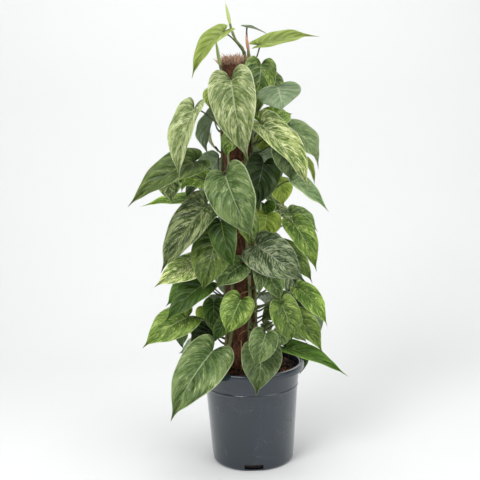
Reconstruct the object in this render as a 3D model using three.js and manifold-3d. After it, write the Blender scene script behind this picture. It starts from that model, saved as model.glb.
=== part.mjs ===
// A variegated heart-leaf philodendron climbing a coir pole in a plastic nursery pot.
// Millimetres, +Z up. The origin is the middle of the pot's foot; the front is towards -Y.
import * as THREE from "three";
import { mergeVertices } from "three/addons/utils/BufferGeometryUtils.js";
import Module from "manifold-3d";

const wasm = await Module();
wasm.setup();

// Pot: a tapered nursery pot with a turned-down lip, a raised ring and slots along its foot.
const potHeight = 146;
const lipRadius = 77.5;
const lipHeight = 9;
const lipOverhang = 5;
const ringDrop = 33;
const ringTaper = 4.5;
const ringProud = 0.9;
const footTaper = 8;
const footRounding = 4;
const potWall = 1.6;
const channelInner = 32;
const channelWidth = 18;
const channelRise = 4;
const channelSlope = 2;
const slotCount = 4;
const slotWidth = 27;
const slotHeight = 7;
const slotDepth = 9;

// Soil and the coir pole standing in it.
const soilDrop = 9;
const soilMound = 3;
const poleOffset = -13;
const poleRadius = 20;
const poleAboveSoil = 441;
const poleInSoil = 60;
const stakeRadius = 8;
const stakeBelowTop = 3;

// Plant.
const vineRadius = 2.6;
const petioleRadius = 1.3;
const leafThickness = 0.8;
const budRadius = 2.4;
const lobeDroop = 0.1;
const stalkInBlade = 2.5;

// Clearances between pieces that touch, and facets of the round ones.
const clearance = 0.3;
const potFacets = 36;
const poleFacets = 20;
const vineFacets = 6;
const vineSteps = 22;
const petioleFacets = 5;
const petioleSteps = 4;

const collarRadius = lipRadius - lipOverhang;
const ringRadius = collarRadius - ringTaper;
const ringHeight = potHeight - ringDrop;
const footRadius = ringRadius - footTaper;
const channelOuter = channelInner + channelWidth;
const soilLevel = potHeight - soilDrop;
const soilBottom = channelRise + potWall + clearance;
const boreRadius = poleRadius + clearance;
const vineStandoff = vineRadius + clearance;
const stemDepth = vineStandoff + vineRadius;
const up = new THREE.Vector3(0, 0, 1);

// Outline of half a leaf, from the notch at the stalk round the lobe to the tip. Each row is the
// place along the leaf and across it on the margin, then the place on the midrib that the side
// vein to that point starts from, all as shares of the length and the half width.
const leafOutline = [
  [0, 0, 0],
  [-0.12, 0.2, 0],
  [-0.16, 0.55, 0],
  [-0.04, 0.9, 0.03],
  [0.2, 1, 0.15],
  [0.46, 0.83, 0.36],
  [0.7, 0.43, 0.6],
  [0.87, 0.15, 0.8],
  [1, 0, 1],
];

// A point at so many degrees round a vertical line through (x, 0), from the front towards the
// right, at a distance from that line and a height above the soil.
function polar(x, turn, reach, height) {
  const angle = THREE.MathUtils.degToRad(turn);
  return new THREE.Vector3(
    x + reach * Math.sin(angle),
    -reach * Math.cos(angle),
    soilLevel + height,
  );
}

// A point of a leaf: turn round the pole, out from the stems' outer side, up from the soil.
function around([turn, out, height]) {
  return polar(poleOffset, turn, poleRadius + stemDepth + out, height);
}

// A point of a stem's middle: turn, out from where the stem lies on the pole, up from the soil.
function climbing([turn, out, height]) {
  return polar(poleOffset, turn, poleRadius + vineStandoff + out, height);
}

// A point round the pot: turn, out from the lip, up from the soil.
function overLip([turn, out, height]) {
  return polar(0, turn, lipRadius + out, height);
}

// A direction: turn in degrees from the front, towards the right, and rise above level.
function heading([turn, rise]) {
  const side = THREE.MathUtils.degToRad(turn);
  const lift = THREE.MathUtils.degToRad(rise);
  return new THREE.Vector3(
    Math.sin(side) * Math.cos(lift),
    -Math.cos(side) * Math.cos(lift),
    Math.sin(lift),
  );
}

// Welds a geometry's shared vertices and drops the faces that have collapsed to a line.
function weld(geometry) {
  const bare = new THREE.BufferGeometry();
  bare.setAttribute("position", geometry.getAttribute("position"));
  bare.setIndex(geometry.index);
  const welded = mergeVertices(bare, 1e-3);
  const corners = welded.index.array;
  const kept = [];
  for (let i = 0; i < corners.length; i += 3) {
    const [a, b, c] = corners.slice(i, i + 3);
    if (a !== b && b !== c && c !== a) kept.push(a, b, c);
  }
  welded.setIndex(kept);
  return welded;
}

function solidOf(geometry) {
  const welded = weld(geometry);
  return new wasm.Manifold(
    new wasm.Mesh({
      numProp: 3,
      vertProperties: new Float32Array(welded.attributes.position.array),
      triVerts: new Uint32Array(welded.index.array),
    }),
  );
}

function geometryOf(solid) {
  const mesh = solid.getMesh();
  const geometry = new THREE.BufferGeometry();
  geometry.setAttribute("position", new THREE.BufferAttribute(mesh.vertProperties, 3));
  geometry.setIndex(new THREE.BufferAttribute(mesh.triVerts, 1));
  geometry.computeVertexNormals();
  return geometry;
}

// A turned body from [radius, height] pairs, about a vertical line through (x, 0).
function turned(profile, facets, x = 0) {
  const points = profile.map(([radius, height]) => new THREE.Vector2(radius, height));
  const geometry = new THREE.LatheGeometry(points, facets);
  return geometry.rotateX(Math.PI / 2).translate(x, 0, 0);
}

function roundSection(radius, facets) {
  const corners = [];
  for (let i = 0; i < facets; i++) {
    const angle = (2 * Math.PI * i) / facets;
    corners.push(new THREE.Vector2(radius * Math.cos(angle), radius * Math.sin(angle)));
  }
  return new THREE.Shape(corners);
}

function tube(path, radius, facets, steps) {
  return new THREE.ExtrudeGeometry(roundSection(radius, facets), {
    steps,
    bevelEnabled: false,
    extrudePath: path,
  });
}

// Outside radius of the pot's wall, which is straight from foot to ring and from ring to lip.
function wallRadius(height) {
  if (height < ringHeight) {
    const share = (height - footRounding) / (ringHeight - footRounding);
    return THREE.MathUtils.lerp(footRadius, ringRadius, share);
  }
  const share = (height - ringHeight) / (potHeight - ringHeight);
  return THREE.MathUtils.lerp(ringRadius, collarRadius, share);
}

function makePot() {
  const lipInside = lipRadius - potWall;
  const outside = [
    [0, 0],
    [channelInner, 0],
    [channelInner + channelSlope, channelRise],
    [channelOuter, channelRise],
    [channelOuter + channelSlope, 0],
    [footRadius - footRounding, 0],
    [footRadius - 0.3 * footRounding, 0.3 * footRounding],
    [footRadius, footRounding],
    [wallRadius(ringHeight - 1.5), ringHeight - 1.5],
    [ringRadius + ringProud, ringHeight - 1],
    [ringRadius + ringProud, ringHeight + 1],
    [wallRadius(ringHeight + 2), ringHeight + 2],
    [wallRadius(potHeight - potWall), potHeight - potWall],
    [lipInside, potHeight - potWall],
    [lipInside, potHeight - lipHeight],
    [lipRadius, potHeight - lipHeight],
    [lipRadius, potHeight - 0.8],
    [lipRadius - 0.8, potHeight],
  ];
  const inside = [
    [collarRadius - potWall, potHeight],
    [ringRadius - potWall, ringHeight],
    [footRadius - potWall, footRounding],
    [footRadius - footRounding, potWall],
    [channelOuter + channelSlope, potWall],
    [channelOuter, channelRise + potWall],
    [channelInner + channelSlope, channelRise + potWall],
    [channelInner, potWall],
    [0, potWall],
  ];
  let pot = solidOf(turned([...outside, ...inside], potFacets));
  for (let step = 0; step < slotCount; step++) {
    const slot = new THREE.BoxGeometry(slotWidth, 2 * slotDepth, 2 * slotHeight);
    slot.translate(0, -footRadius, 0);
    slot.rotateZ((2 * Math.PI * step) / slotCount);
    pot = pot.subtract(solidOf(slot));
  }
  return pot;
}

function makeSoil(roots) {
  const edge = soilLevel - 1;
  const profile = [
    [0, soilBottom],
    [wallRadius(soilBottom) - potWall - clearance, soilBottom],
    [ringRadius - potWall - clearance, ringHeight],
    [wallRadius(edge) - potWall - clearance, edge],
    [0.7 * collarRadius, soilLevel + 0.4 * soilMound],
    [0.35 * collarRadius, soilLevel + soilMound],
    [0, soilLevel + soilMound],
  ];
  const poleBottom = soilLevel - poleInSoil - clearance;
  const poleBore = turned(
    [
      [0, poleBottom],
      [boreRadius, poleBottom],
      [boreRadius, potHeight],
      [0, potHeight],
    ],
    poleFacets,
    poleOffset,
  );
  const stakeBore = turned(
    [
      [0, 0],
      [stakeRadius + clearance, 0],
      [stakeRadius + clearance, potHeight],
      [0, potHeight],
    ],
    poleFacets,
    poleOffset,
  );
  let soil = solidOf(turned(profile, potFacets));
  soil = soil.subtract(solidOf(poleBore)).subtract(solidOf(stakeBore));
  for (const root of roots) soil = soil.subtract(root);
  return soil;
}

function makeStake() {
  const top = soilLevel + poleAboveSoil - stakeBelowTop;
  const foot = soilBottom;
  return solidOf(
    turned(
      [
        [0, foot],
        [0.55 * stakeRadius, foot],
        [stakeRadius, foot + stakeRadius],
        [stakeRadius, top - 1],
        [stakeRadius - 1, top],
        [0, top],
      ],
      poleFacets,
      poleOffset,
    ),
  );
}

function makeCoir() {
  const top = soilLevel + poleAboveSoil;
  const bottom = soilLevel - poleInSoil;
  const inner = stakeRadius + clearance;
  const profile = [
    [inner, bottom],
    [poleRadius, bottom],
    [poleRadius, top - 4],
    [poleRadius - 2, top],
    [inner, top],
    [inner, bottom],
  ];
  return solidOf(turned(profile, poleFacets, poleOffset));
}

// Stems: points up the pole from the soil, then the tip of the rolled new leaf, if any.
const vines = [
  {
    name: "stem_front_left",
    route: [
      [-54, 15.1, -14], [-48, 8.1, 18], [-40, 0.7, 52], [-30, 0.3, 120], [-35, 0.3, 190],
      [-28, 0.3, 260], [-34, 0.3, 330], [-38, 0.5, 400], [-41, 7.1, 430],
    ],
    bud: [-45, 14.1, 475],
  },
  {
    name: "stem_left",
    route: [
      [-130, 15.1, -14], [-122, 7.1, 18], [-114, 0.7, 52], [-106, 0.3, 120], [-113, 0.3, 200],
      [-105, 0.3, 270], [-112, 0.3, 330], [-108, 1.1, 372],
    ],
    bud: [-100, 11.1, 398],
  },
  {
    name: "stem_right",
    route: [
      [84, 15.1, -14], [78, 6.1, 18], [72, 0.7, 52], [64, 0.3, 120], [71, 0.3, 200],
      [65, 0.3, 280], [72, 0.3, 360], [68, 0.5, 432], [64, -0.9, 452],
    ],
    bud: [60, -4.9, 482],
  },
  {
    name: "stem_back",
    route: [
      [162, 15.1, -14], [156, 7.1, 18], [148, 0.7, 52], [155, 0.3, 130], [147, 0.3, 210],
      [154, 0.3, 290], [148, 0.3, 370], [150, 0.5, 430], [146, 0.1, 446],
    ],
  },
  {
    name: "stem_front_right",
    route: [
      [20, 15.1, -14], [24, 7.1, 18], [28, 0.7, 52], [34, 0.3, 120], [26, 0.3, 190],
      [33, 0.3, 260], [26, 0.3, 330], [33, 0.3, 400], [40, 0.7, 440], [34, -2.9, 458],
      [9, -8.9, 470], [-15, -5.9, 487],
    ],
    bud: [-33, -1.9, 523],
  },
];

// Leaves that show from the front and the sides, from the top down. Each one's stalk grows from a
// stem at the node height and ends at the leaf's base; the upper side looks along face. The fold
// raises both halves by so many degrees, and bow is how far the midrib arches, in millimetres.
// A leaf that hangs over the pot's edge is placed from the lip.
const leaves = [
  { stem: 4, node: 453, base: [-21, 14, 479], tip: [-53, 48, 419], face: [-25, 40],
    width: 38, fold: 22, bow: 9 },
  { stem: 3, node: 440, base: [142, 0, 493], tip: [122, 32, 482], face: [10, 70],
    width: 20, fold: 20, bow: 2 },
  { stem: 2, node: 440, base: [98, 11, 466], tip: [100, 96, 479], face: [5, 52],
    width: 34, fold: 18, bow: 4 },
  { stem: 2, node: 410, base: [58, 17, 436], tip: [37, 18, 366], face: [5, 15],
    width: 46, fold: 15, bow: 8 },
  { stem: 2, node: 376, base: [40, 62, 402], tip: [47, 62, 372], face: [172, 22],
    width: 60, fold: 4, bow: 3 },
  { stem: 0, node: 387, base: [-6, 29, 413], tip: [11, 44, 307], face: [-14, 12],
    width: 78, fold: 33, bow: 12 },
  { stem: 0, node: 351, base: [-52, 47, 377], tip: [-48, 84, 285], face: [-26, 15],
    width: 54, fold: 34, bow: 9 },
  { stem: 0, node: 279, base: [-57, 45, 305], tip: [-69, 135, 248], face: [-14, 40],
    width: 60, fold: 28, bow: 10 },
  { stem: 1, node: 254, base: [-83, 15, 280], tip: [-75, 58, 269], face: [-15, 40],
    width: 40, fold: 20, bow: 4 },
  { stem: 1, node: 226, base: [-88, 30, 252], tip: [-84, 113, 243], face: [-8, 50],
    width: 26, fold: 25, bow: 3 },
  { stem: 0, node: 217, base: [-50, 34, 243], tip: [-61, 97, 155], face: [-22, 25],
    width: 66, fold: 25, bow: 8 },
  { stem: 0, node: 260, base: [-15, 39, 286], tip: [14, 53, 200], face: [-22, 18],
    width: 74, fold: 28, bow: 10 },
  { stem: 4, node: 275, base: [45, 26, 301], tip: [21, 22, 237], face: [10, 15],
    width: 54, fold: 18, bow: 6 },
  { stem: 2, node: 327, base: [39, 29, 353], tip: [58, 92, 267], face: [14, 42],
    width: 62, fold: 33, bow: 8 },
  { stem: 3, node: 331, base: [78, 15, 357], tip: [108, 61, 369], face: [5, 40],
    width: 48, fold: 15, bow: 4 },
  { stem: 3, node: 323, base: [101, 53, 349], tip: [102, 98, 290], face: [80, -30],
    width: 50, fold: 20, bow: 9 },
  { stem: 2, node: 276, base: [90, 72, 302], tip: [90, 84, 268], face: [40, 40],
    width: 18, fold: 30, bow: 3 },
  { stem: 2, node: 249, base: [75, 54, 275], tip: [77, 105, 232], face: [15, 50],
    width: 34, fold: 28, bow: 2 },
  { stem: 3, node: 246, base: [102, 34, 272], tip: [99, 40, 236], face: [20, 15],
    width: 40, fold: 20, bow: 4 },
  { stem: 3, node: 312, base: [131, 26, 338], tip: [135, 29, 312], face: [0, 10],
    width: 26, fold: 20, bow: 3 },
  { stem: 2, node: 202, base: [88, 49, 228], tip: [83, 87, 201], face: [10, 48],
    width: 34, fold: 30, bow: 5 },
  { stem: 2, node: 190, base: [70, 56, 216], tip: [67, 91, 150], face: [12, 25],
    width: 44, fold: 24, bow: 9 },
  { stem: 4, node: 201, base: [68, 17, 227], tip: [58, 13, 189], face: [5, 10],
    width: 52, fold: 15, bow: 6 },
  { stem: 3, node: 215, base: [102, 13, 241], tip: [93, 16, 218], face: [0, 30],
    width: 32, fold: 20, bow: 4 },
  { stem: 4, node: 161, base: [25, 35, 187], tip: [50, 88, 138], face: [4, 18],
    width: 64, fold: 14, bow: 10 },
  { stem: 4, node: 122, base: [43, 32, 148], tip: [47, 48, 108], face: [10, 10],
    width: 36, fold: 20, bow: 5 },
  { stem: 0, node: 174, base: [-32, 34, 200], tip: [-40, 51, 125], face: [-8, 15],
    width: 60, fold: 12, bow: 8 },
  { stem: 1, node: 135, base: [-69, 36, 161], tip: [-69, 103, 133], face: [-14, 28],
    width: 48, fold: 18, bow: 7 },
  { stem: 1, node: 106, base: [-88, 39, 132], tip: [-80, 83, 98], face: [-14, 30],
    width: 40, fold: 18, bow: 6 },
  { stem: 0, node: 107, base: [-56, 35, 133], tip: [-64, 95, 85], face: [-16, 32],
    width: 46, fold: 22, bow: 7 },
  { stem: 0, node: 58, base: [-71, 54, 84], tip: [-72, 123, 48], face: [-16, 25],
    width: 52, fold: 16, bow: 7 },
  { stem: 0, node: 87, base: [0, 29, 113], tip: [-21, 39, 65], face: [-4, 10],
    width: 46, fold: 12, bow: 5 },
  { stem: 1, node: 74, base: [-76, 15, 100], tip: [-70, 16, 52], face: [-4, 10],
    width: 32, fold: 15, bow: 5 },
  { stem: 1, node: 57, base: [-113, 32, 83], tip: [-110, 38, 59], face: [-10, 10],
    width: 30, fold: 20, bow: 3 },
  { stem: 1, node: 32, base: [-94, 20, 58], tip: [-87, 51, 34], face: [-10, 25],
    width: 40, fold: 20, bow: 5 },
  { stem: 1, node: 10, base: [-102, 45, 33], tip: [-103, 71, 16], face: [170, -20],
    width: 24, fold: 15, bow: 3 },
  { stem: 0, node: 12, base: [-48, -4, 39], tip: [-53, 66, -46], face: [-16, 22],
    width: 74, fold: 22, bow: 12, overLip: true },
  { stem: 4, node: 62, base: [20, 69, 72], tip: [10, 76, 29], face: [4, 12],
    width: 40, fold: 14, bow: 5 },
  { stem: 4, node: 15, base: [16, -24, 42], tip: [5, 12, -14], face: [2, 22],
    width: 60, fold: 16, bow: 9, overLip: true },
  { stem: 2, node: 33, base: [61, 41, 59], tip: [47, 39, 39], face: [5, 15],
    width: 28, fold: 20, bow: 3 },
  { stem: 2, node: 55, base: [72, 56, 81], tip: [70, 98, 32], face: [12, 35],
    width: 44, fold: 28, bow: 6 },
  { stem: 3, node: 50, base: [92, 71, 76], tip: [95, 92, 42], face: [160, 10],
    width: 38, fold: 20, bow: 5 },
  { stem: 2, node: 93, base: [87, 60, 117], tip: [83, 102, 65], face: [20, 40],
    width: 38, fold: 26, bow: 6 },
  { stem: 3, node: 65, base: [106, 72, 91], tip: [103, 74, 59], face: [10, 30],
    width: 40, fold: 20, bow: 5 },
  { stem: 2, node: 11, base: [64, 44, 37], tip: [71, 132, 1], face: [12, 52],
    width: 32, fold: 28, bow: 5 },
  { stem: 4, node: 69, base: [66, 33, 88], tip: [41, 18, 77], face: [10, 50],
    width: 30, fold: 20, bow: 4 },
  { stem: 3, node: 32, base: [94, 45, 58], tip: [90, 68, 34], face: [60, -20],
    width: 36, fold: 20, bow: 4 },
  { stem: 2, node: 86, base: [68, 34, 112], tip: [65, 47, 87], face: [10, 20],
    width: 28, fold: 25, bow: 4 },
  { stem: 3, node: 10, base: [116, 11, 16], tip: [128, 21, -34], face: [0, 10],
    width: 22, fold: 20, bow: 3, overLip: true },
  { stem: 0, node: 133, base: [3, 10, 159], tip: [-37, 35, 130], face: [-10, 30],
    width: 40, fold: 16, bow: 3 },
];

// Leaves at the back and smaller ones deep in the crown, grown as one piece with their stems.
const innerLeaves = [
  { stem: 3, node: 416, base: [158, 27, 428], tip: [163, 55, 356], face: [160, 22],
    width: 58, fold: 20, bow: 9 },
  { stem: 1, node: 368, base: [-168, 27, 392], tip: [-176, 61, 322], face: [-172, 28],
    width: 60, fold: 24, bow: 9 },
  { stem: 3, node: 334, base: [150, 29, 350], tip: [146, 69, 286], face: [148, 24],
    width: 56, fold: 18, bow: 8 },
  { stem: 1, node: 288, base: [-150, 29, 306], tip: [-146, 71, 236], face: [-150, 22],
    width: 60, fold: 22, bow: 10 },
  { stem: 3, node: 268, base: [176, 31, 286], tip: [178, 65, 214], face: [176, 24],
    width: 62, fold: 16, bow: 8 },
  { stem: 3, node: 214, base: [156, 31, 232], tip: [158, 67, 166], face: [156, 28],
    width: 54, fold: 26, bow: 9 },
  { stem: 1, node: 196, base: [-144, 33, 214], tip: [-148, 73, 150], face: [-142, 26],
    width: 58, fold: 20, bow: 9 },
  { stem: 3, node: 156, base: [172, 33, 172], tip: [170, 73, 104], face: [172, 22],
    width: 60, fold: 18, bow: 9 },
  { stem: 1, node: 118, base: [-170, 35, 134], tip: [-172, 79, 70], face: [-168, 30],
    width: 54, fold: 24, bow: 9 },
  { stem: 3, node: 84, base: [148, 37, 98], tip: [146, 83, 42], face: [148, 26],
    width: 54, fold: 20, bow: 9 },
  { stem: 1, node: 48, base: [-140, 41, 62], tip: [-140, 87, 4], face: [-140, 30],
    width: 54, fold: 22, bow: 9 },
  { stem: 3, node: 22, base: [176, 47, 34], tip: [178, 93, -22], face: [178, 26],
    width: 54, fold: 18, bow: 9 },
  { stem: 2, node: 396, base: [118, 15, 418], tip: [124, 35, 358], face: [114, 22],
    width: 44, fold: 24, bow: 7 },
  { stem: 3, node: 296, base: [132, 23, 312], tip: [132, 55, 256], face: [128, 22],
    width: 50, fold: 20, bow: 8 },
  { stem: 3, node: 180, base: [124, 21, 198], tip: [124, 49, 144], face: [120, 24],
    width: 46, fold: 24, bow: 8 },
  { stem: 3, node: 112, base: [126, 21, 126], tip: [126, 43, 76], face: [122, 26],
    width: 38, fold: 22, bow: 7 },
  { stem: 1, node: 346, base: [-120, 13, 372], tip: [-126, 29, 312], face: [-118, 22],
    width: 44, fold: 24, bow: 7 },
  { stem: 1, node: 238, base: [-122, 21, 258], tip: [-126, 45, 204], face: [-120, 24],
    width: 46, fold: 22, bow: 8 },
  { stem: 1, node: 152, base: [-124, 21, 170], tip: [-126, 43, 118], face: [-122, 22],
    width: 42, fold: 24, bow: 7 },
  { stem: 1, node: 84, base: [-138, 23, 98], tip: [-138, 51, 46], face: [-136, 26],
    width: 40, fold: 20, bow: 7 },
  { stem: 2, node: 163, base: [75, 37, 180], tip: [77, 79, 128], face: [36, 12],
    width: 36, fold: 17, bow: 9 },
  { stem: 0, node: 269, base: [-68, 75, 288], tip: [-68, 73, 249], face: [-22, 14],
    width: 40, fold: 18, bow: 6 },
  { stem: 2, node: 314, base: [58, 56, 331], tip: [63, 55, 273], face: [13, 35],
    width: 52, fold: 13, bow: 8 },
  { stem: 4, node: 92, base: [37, 68, 109], tip: [54, 63, 51], face: [5, 24],
    width: 43, fold: 22, bow: 9 },
  { stem: 2, node: 111, base: [121, 58, 136], tip: [118, 72, 73], face: [34, 19],
    width: 42, fold: 12, bow: 8 },
  { stem: 3, node: 232, base: [147, 54, 253], tip: [134, 73, 211], face: [53, 8],
    width: 33, fold: 23, bow: 4 },
  { stem: 0, node: 326, base: [-4, 10, 342], tip: [-23, 12, 309], face: [-13, 31],
    width: 28, fold: 20, bow: 8 },
  { stem: 0, node: 62, base: [-34, 14, 78], tip: [-56, 22, 47], face: [-6, 27],
    width: 24, fold: 18, bow: 4 },
  { stem: 2, node: 32, base: [139, 26, 55], tip: [142, 41, 32], face: [63, 21],
    width: 22, fold: 23, bow: 6 },
  { stem: 0, node: 255, base: [-95, 28, 273], tip: [-78, 49, 250], face: [-33, 41],
    width: 30, fold: 24, bow: 5 },
  { stem: 0, node: 203, base: [-24, 34, 222], tip: [-6, 49, 158], face: [-16, 7],
    width: 44, fold: 26, bow: 6 },
  { stem: 1, node: 266, base: [-119, 51, 282], tip: [-108, 62, 258], face: [-35, 41],
    width: 21, fold: 13, bow: 7 },
  { stem: 0, node: 392, base: [-55, 10, 406], tip: [-54, 19, 374], face: [-31, 33],
    width: 29, fold: 14, bow: 6 },
  { stem: 4, node: 221, base: [7, 11, 236], tip: [22, 19, 184], face: [17, 37],
    width: 41, fold: 18, bow: 6 },
  { stem: 1, node: 40, base: [-114, 74, 57], tip: [-118, 77, 16], face: [-44, 19],
    width: 38, fold: 18, bow: 5 },
  { stem: 2, node: 404, base: [90, 18, 421], tip: [106, 52, 385], face: [42, 38],
    width: 42, fold: 15, bow: 8 },
  { stem: 4, node: 143, base: [25, 38, 161], tip: [16, 67, 124], face: [16, 29],
    width: 23, fold: 15, bow: 5 },
  { stem: 3, node: 210, base: [126, 49, 228], tip: [124, 72, 188], face: [53, 33],
    width: 34, fold: 22, bow: 5 },
];

function stemPath(vine) {
  const points = vine.route.map(climbing);
  if (vine.bud) {
    const rise = climbing(vine.bud).sub(points.at(-1)).multiplyScalar(0.15);
    points.push(points.at(-1).clone().add(rise));
  }
  return new THREE.CatmullRomCurve3(points);
}

// The point of a stem at a height above the soil, and the stem's direction there.
function nodeOn(path, height) {
  let low = 0;
  let high = 1;
  for (let i = 0; i < 24; i++) {
    const middle = (low + high) / 2;
    if (path.getPoint(middle).z < soilLevel + height) low = middle;
    else high = middle;
  }
  return { point: path.getPoint(low), along: path.getTangent(low) };
}

// A rolled new leaf: a spindle from one point to another.
function makeBud(from, to) {
  const length = from.distanceTo(to);
  const profile = [
    [0, -2],
    [0.7 * budRadius, 0],
    [budRadius, 0.3 * length],
    [0.6 * budRadius, 0.7 * length],
    [0, length],
  ];
  const points = profile.map(([radius, height]) => new THREE.Vector2(radius, height));
  const spindle = new THREE.LatheGeometry(points, vineFacets);
  const turn = new THREE.Quaternion().setFromUnitVectors(
    new THREE.Vector3(0, 1, 0),
    to.clone().sub(from).normalize(),
  );
  return solidOf(spindle.applyQuaternion(turn).translate(from.x, from.y, from.z));
}

// Where a blade lies: its base, its length, and the directions along it, across it and out of it.
function bladeFrame(leaf) {
  const place = leaf.overLip ? overLip : around;
  const base = place(leaf.base);
  const along = place(leaf.tip).sub(base);
  const length = along.length();
  along.normalize();
  const normal = heading(leaf.face);
  normal.addScaledVector(along, -normal.dot(along)).normalize();
  const across = new THREE.Vector3().crossVectors(normal, along);
  return { base, length, along, across, normal };
}

// A point of the midrib, at a share of the blade's length.
function midrib(leaf, frame, place) {
  return frame.base
    .clone()
    .addScaledVector(frame.along, place * frame.length)
    .addScaledVector(frame.normal, 4 * leaf.bow * place * (1 - place));
}

// The stalk leaves its stem square and away from the pole, and runs a little way into the blade.
function makeStalk(leaf, path, separate) {
  const node = nodeOn(path, leaf.node);
  const frame = bladeFrame(leaf);
  const reach = frame.base.clone().sub(node.point);
  const span = reach.length();
  const square = node.point.clone().sub(new THREE.Vector3(poleOffset, 0, node.point.z));
  square.normalize().multiplyScalar(0.8).add(reach.setZ(0).divideScalar(span));
  square.addScaledVector(node.along, -square.dot(node.along)).normalize();
  const start = separate ? vineRadius + clearance : 0;
  const foot = node.point.clone().addScaledVector(square, start);
  const route = new THREE.CubicBezierCurve3(
    foot,
    foot.clone().addScaledVector(square, 0.35 * span),
    frame.base.clone().addScaledVector(up, 0.3 * span).lerp(foot, 0.25),
    midrib(leaf, frame, stalkInBlade / frame.length),
  );
  return tube(route, petioleRadius, petioleFacets, petioleSteps);
}

// The blade: two halves that meet on the midrib, folded, arched and given a thickness.
function makeBlade(leaf) {
  const frame = bladeFrame(leaf);
  const fold = THREE.MathUtils.degToRad(leaf.fold);
  const half = leaf.width / 2;

  function surface(row, share, side, layer) {
    const [outer, edge, inner] = leafOutline[row];
    const place = THREE.MathUtils.lerp(inner, outer, share);
    const spread = edge * share;
    const droop = lobeDroop * half * spread * spread;
    const onMidrib = spread === 0;
    const lean = onMidrib ? 0 : Math.sin(fold);
    const stand = onMidrib ? 1 / Math.cos(fold) : Math.cos(fold);
    const lift = (layer * leafThickness) / 2;
    return midrib(leaf, frame, place)
      .addScaledVector(frame.across, side * (half * spread * Math.cos(fold) - lift * lean))
      .addScaledVector(frame.normal, half * spread * Math.sin(fold) - droop + lift * stand);
  }

  const corners = [];
  function face(a, b, c, d, side) {
    const ring = side > 0 ? [a, b, c, a, c, d] : [a, c, b, a, d, c];
    for (const corner of ring) corners.push(corner.x, corner.y, corner.z);
  }
  for (const side of [1, -1]) {
    for (let row = 0; row < leafOutline.length - 1; row++) {
      for (const layer of [1, -1]) {
        const a = surface(row, 0, side, layer);
        const b = surface(row + 1, 0, side, layer);
        const c = surface(row + 1, 1, side, layer);
        const d = surface(row, 1, side, layer);
        face(a, b, c, d, side * layer);
      }
      const a = surface(row, 1, side, -1);
      const b = surface(row, 1, side, 1);
      const c = surface(row + 1, 1, side, 1);
      const d = surface(row + 1, 1, side, -1);
      face(a, b, c, d, side);
    }
  }
  const geometry = new THREE.BufferGeometry();
  geometry.setAttribute("position", new THREE.Float32BufferAttribute(corners, 3));
  return geometry;
}

function makeLeaf(leaf, path, separate = true) {
  const blade = solidOf(makeBlade(leaf));
  return blade.add(solidOf(makeStalk(leaf, path, separate)));
}

function makeStem(index) {
  const vine = vines[index];
  const path = stemPath(vine);
  let stem = solidOf(tube(path, vineRadius, vineFacets, vineSteps));
  if (vine.bud) stem = stem.add(makeBud(path.getPoint(1), climbing(vine.bud)));
  for (const leaf of innerLeaves) {
    if (leaf.stem === index) stem = stem.add(makeLeaf(leaf, path, false));
  }
  return stem;
}

function makeRoot(vine) {
  const hole = tube(stemPath(vine), vineRadius + clearance, vineFacets, vineSteps);
  return solidOf(hole);
}

const plant = new THREE.Group();

function add(name, solid, material) {
  const mesh = new THREE.Mesh(geometryOf(solid), material);
  mesh.name = name;
  plant.add(mesh);
}

const finishes = {
  pot: new THREE.MeshStandardMaterial({ color: 0x4a4f53, roughness: 0.38, metalness: 0 }),
  soil: new THREE.MeshStandardMaterial({ color: 0x1d1512, roughness: 0.95, metalness: 0 }),
  coir: new THREE.MeshStandardMaterial({ color: 0x6b4334, roughness: 0.95, metalness: 0 }),
  stake: new THREE.MeshStandardMaterial({ color: 0x8a6a45, roughness: 0.8, metalness: 0 }),
  stem: new THREE.MeshStandardMaterial({ color: 0x6f8a45, roughness: 0.5, metalness: 0 }),
  leaf: new THREE.MeshStandardMaterial({ color: 0x6d9143, roughness: 0.42, metalness: 0 }),
};

add("pot", makePot(), finishes.pot);
add("soil", makeSoil(vines.map(makeRoot)), finishes.soil);
add("pole_stake", makeStake(), finishes.stake);
add("coir_sleeve", makeCoir(), finishes.coir);
vines.forEach((vine, index) => add(vine.name, makeStem(index), finishes.stem));
leaves.forEach((leaf, index) => {
  const name = "leaf_" + String(index + 1).padStart(2, "0");
  add(name, makeLeaf(leaf, stemPath(vines[leaf.stem])), finishes.leaf);
});

export default plant;
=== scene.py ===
import math
import random

import bmesh
import bpy
import numpy as np
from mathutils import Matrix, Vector


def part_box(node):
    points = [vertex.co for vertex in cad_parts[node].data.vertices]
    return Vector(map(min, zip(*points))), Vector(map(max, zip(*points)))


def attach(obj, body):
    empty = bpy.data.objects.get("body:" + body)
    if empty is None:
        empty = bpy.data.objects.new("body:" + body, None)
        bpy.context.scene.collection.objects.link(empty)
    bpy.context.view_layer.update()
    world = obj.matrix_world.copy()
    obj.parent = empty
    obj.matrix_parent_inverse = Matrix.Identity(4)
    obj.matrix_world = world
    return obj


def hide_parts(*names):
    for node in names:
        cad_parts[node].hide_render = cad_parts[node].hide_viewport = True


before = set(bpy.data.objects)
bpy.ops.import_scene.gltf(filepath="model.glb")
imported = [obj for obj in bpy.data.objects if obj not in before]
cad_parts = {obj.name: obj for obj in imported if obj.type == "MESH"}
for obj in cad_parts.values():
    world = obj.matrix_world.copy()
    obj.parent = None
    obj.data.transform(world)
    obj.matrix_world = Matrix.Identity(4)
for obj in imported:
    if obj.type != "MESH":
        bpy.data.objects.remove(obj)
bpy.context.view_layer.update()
bpy.ops.object.select_all(action="DESELECT")
mm = 0.001

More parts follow.
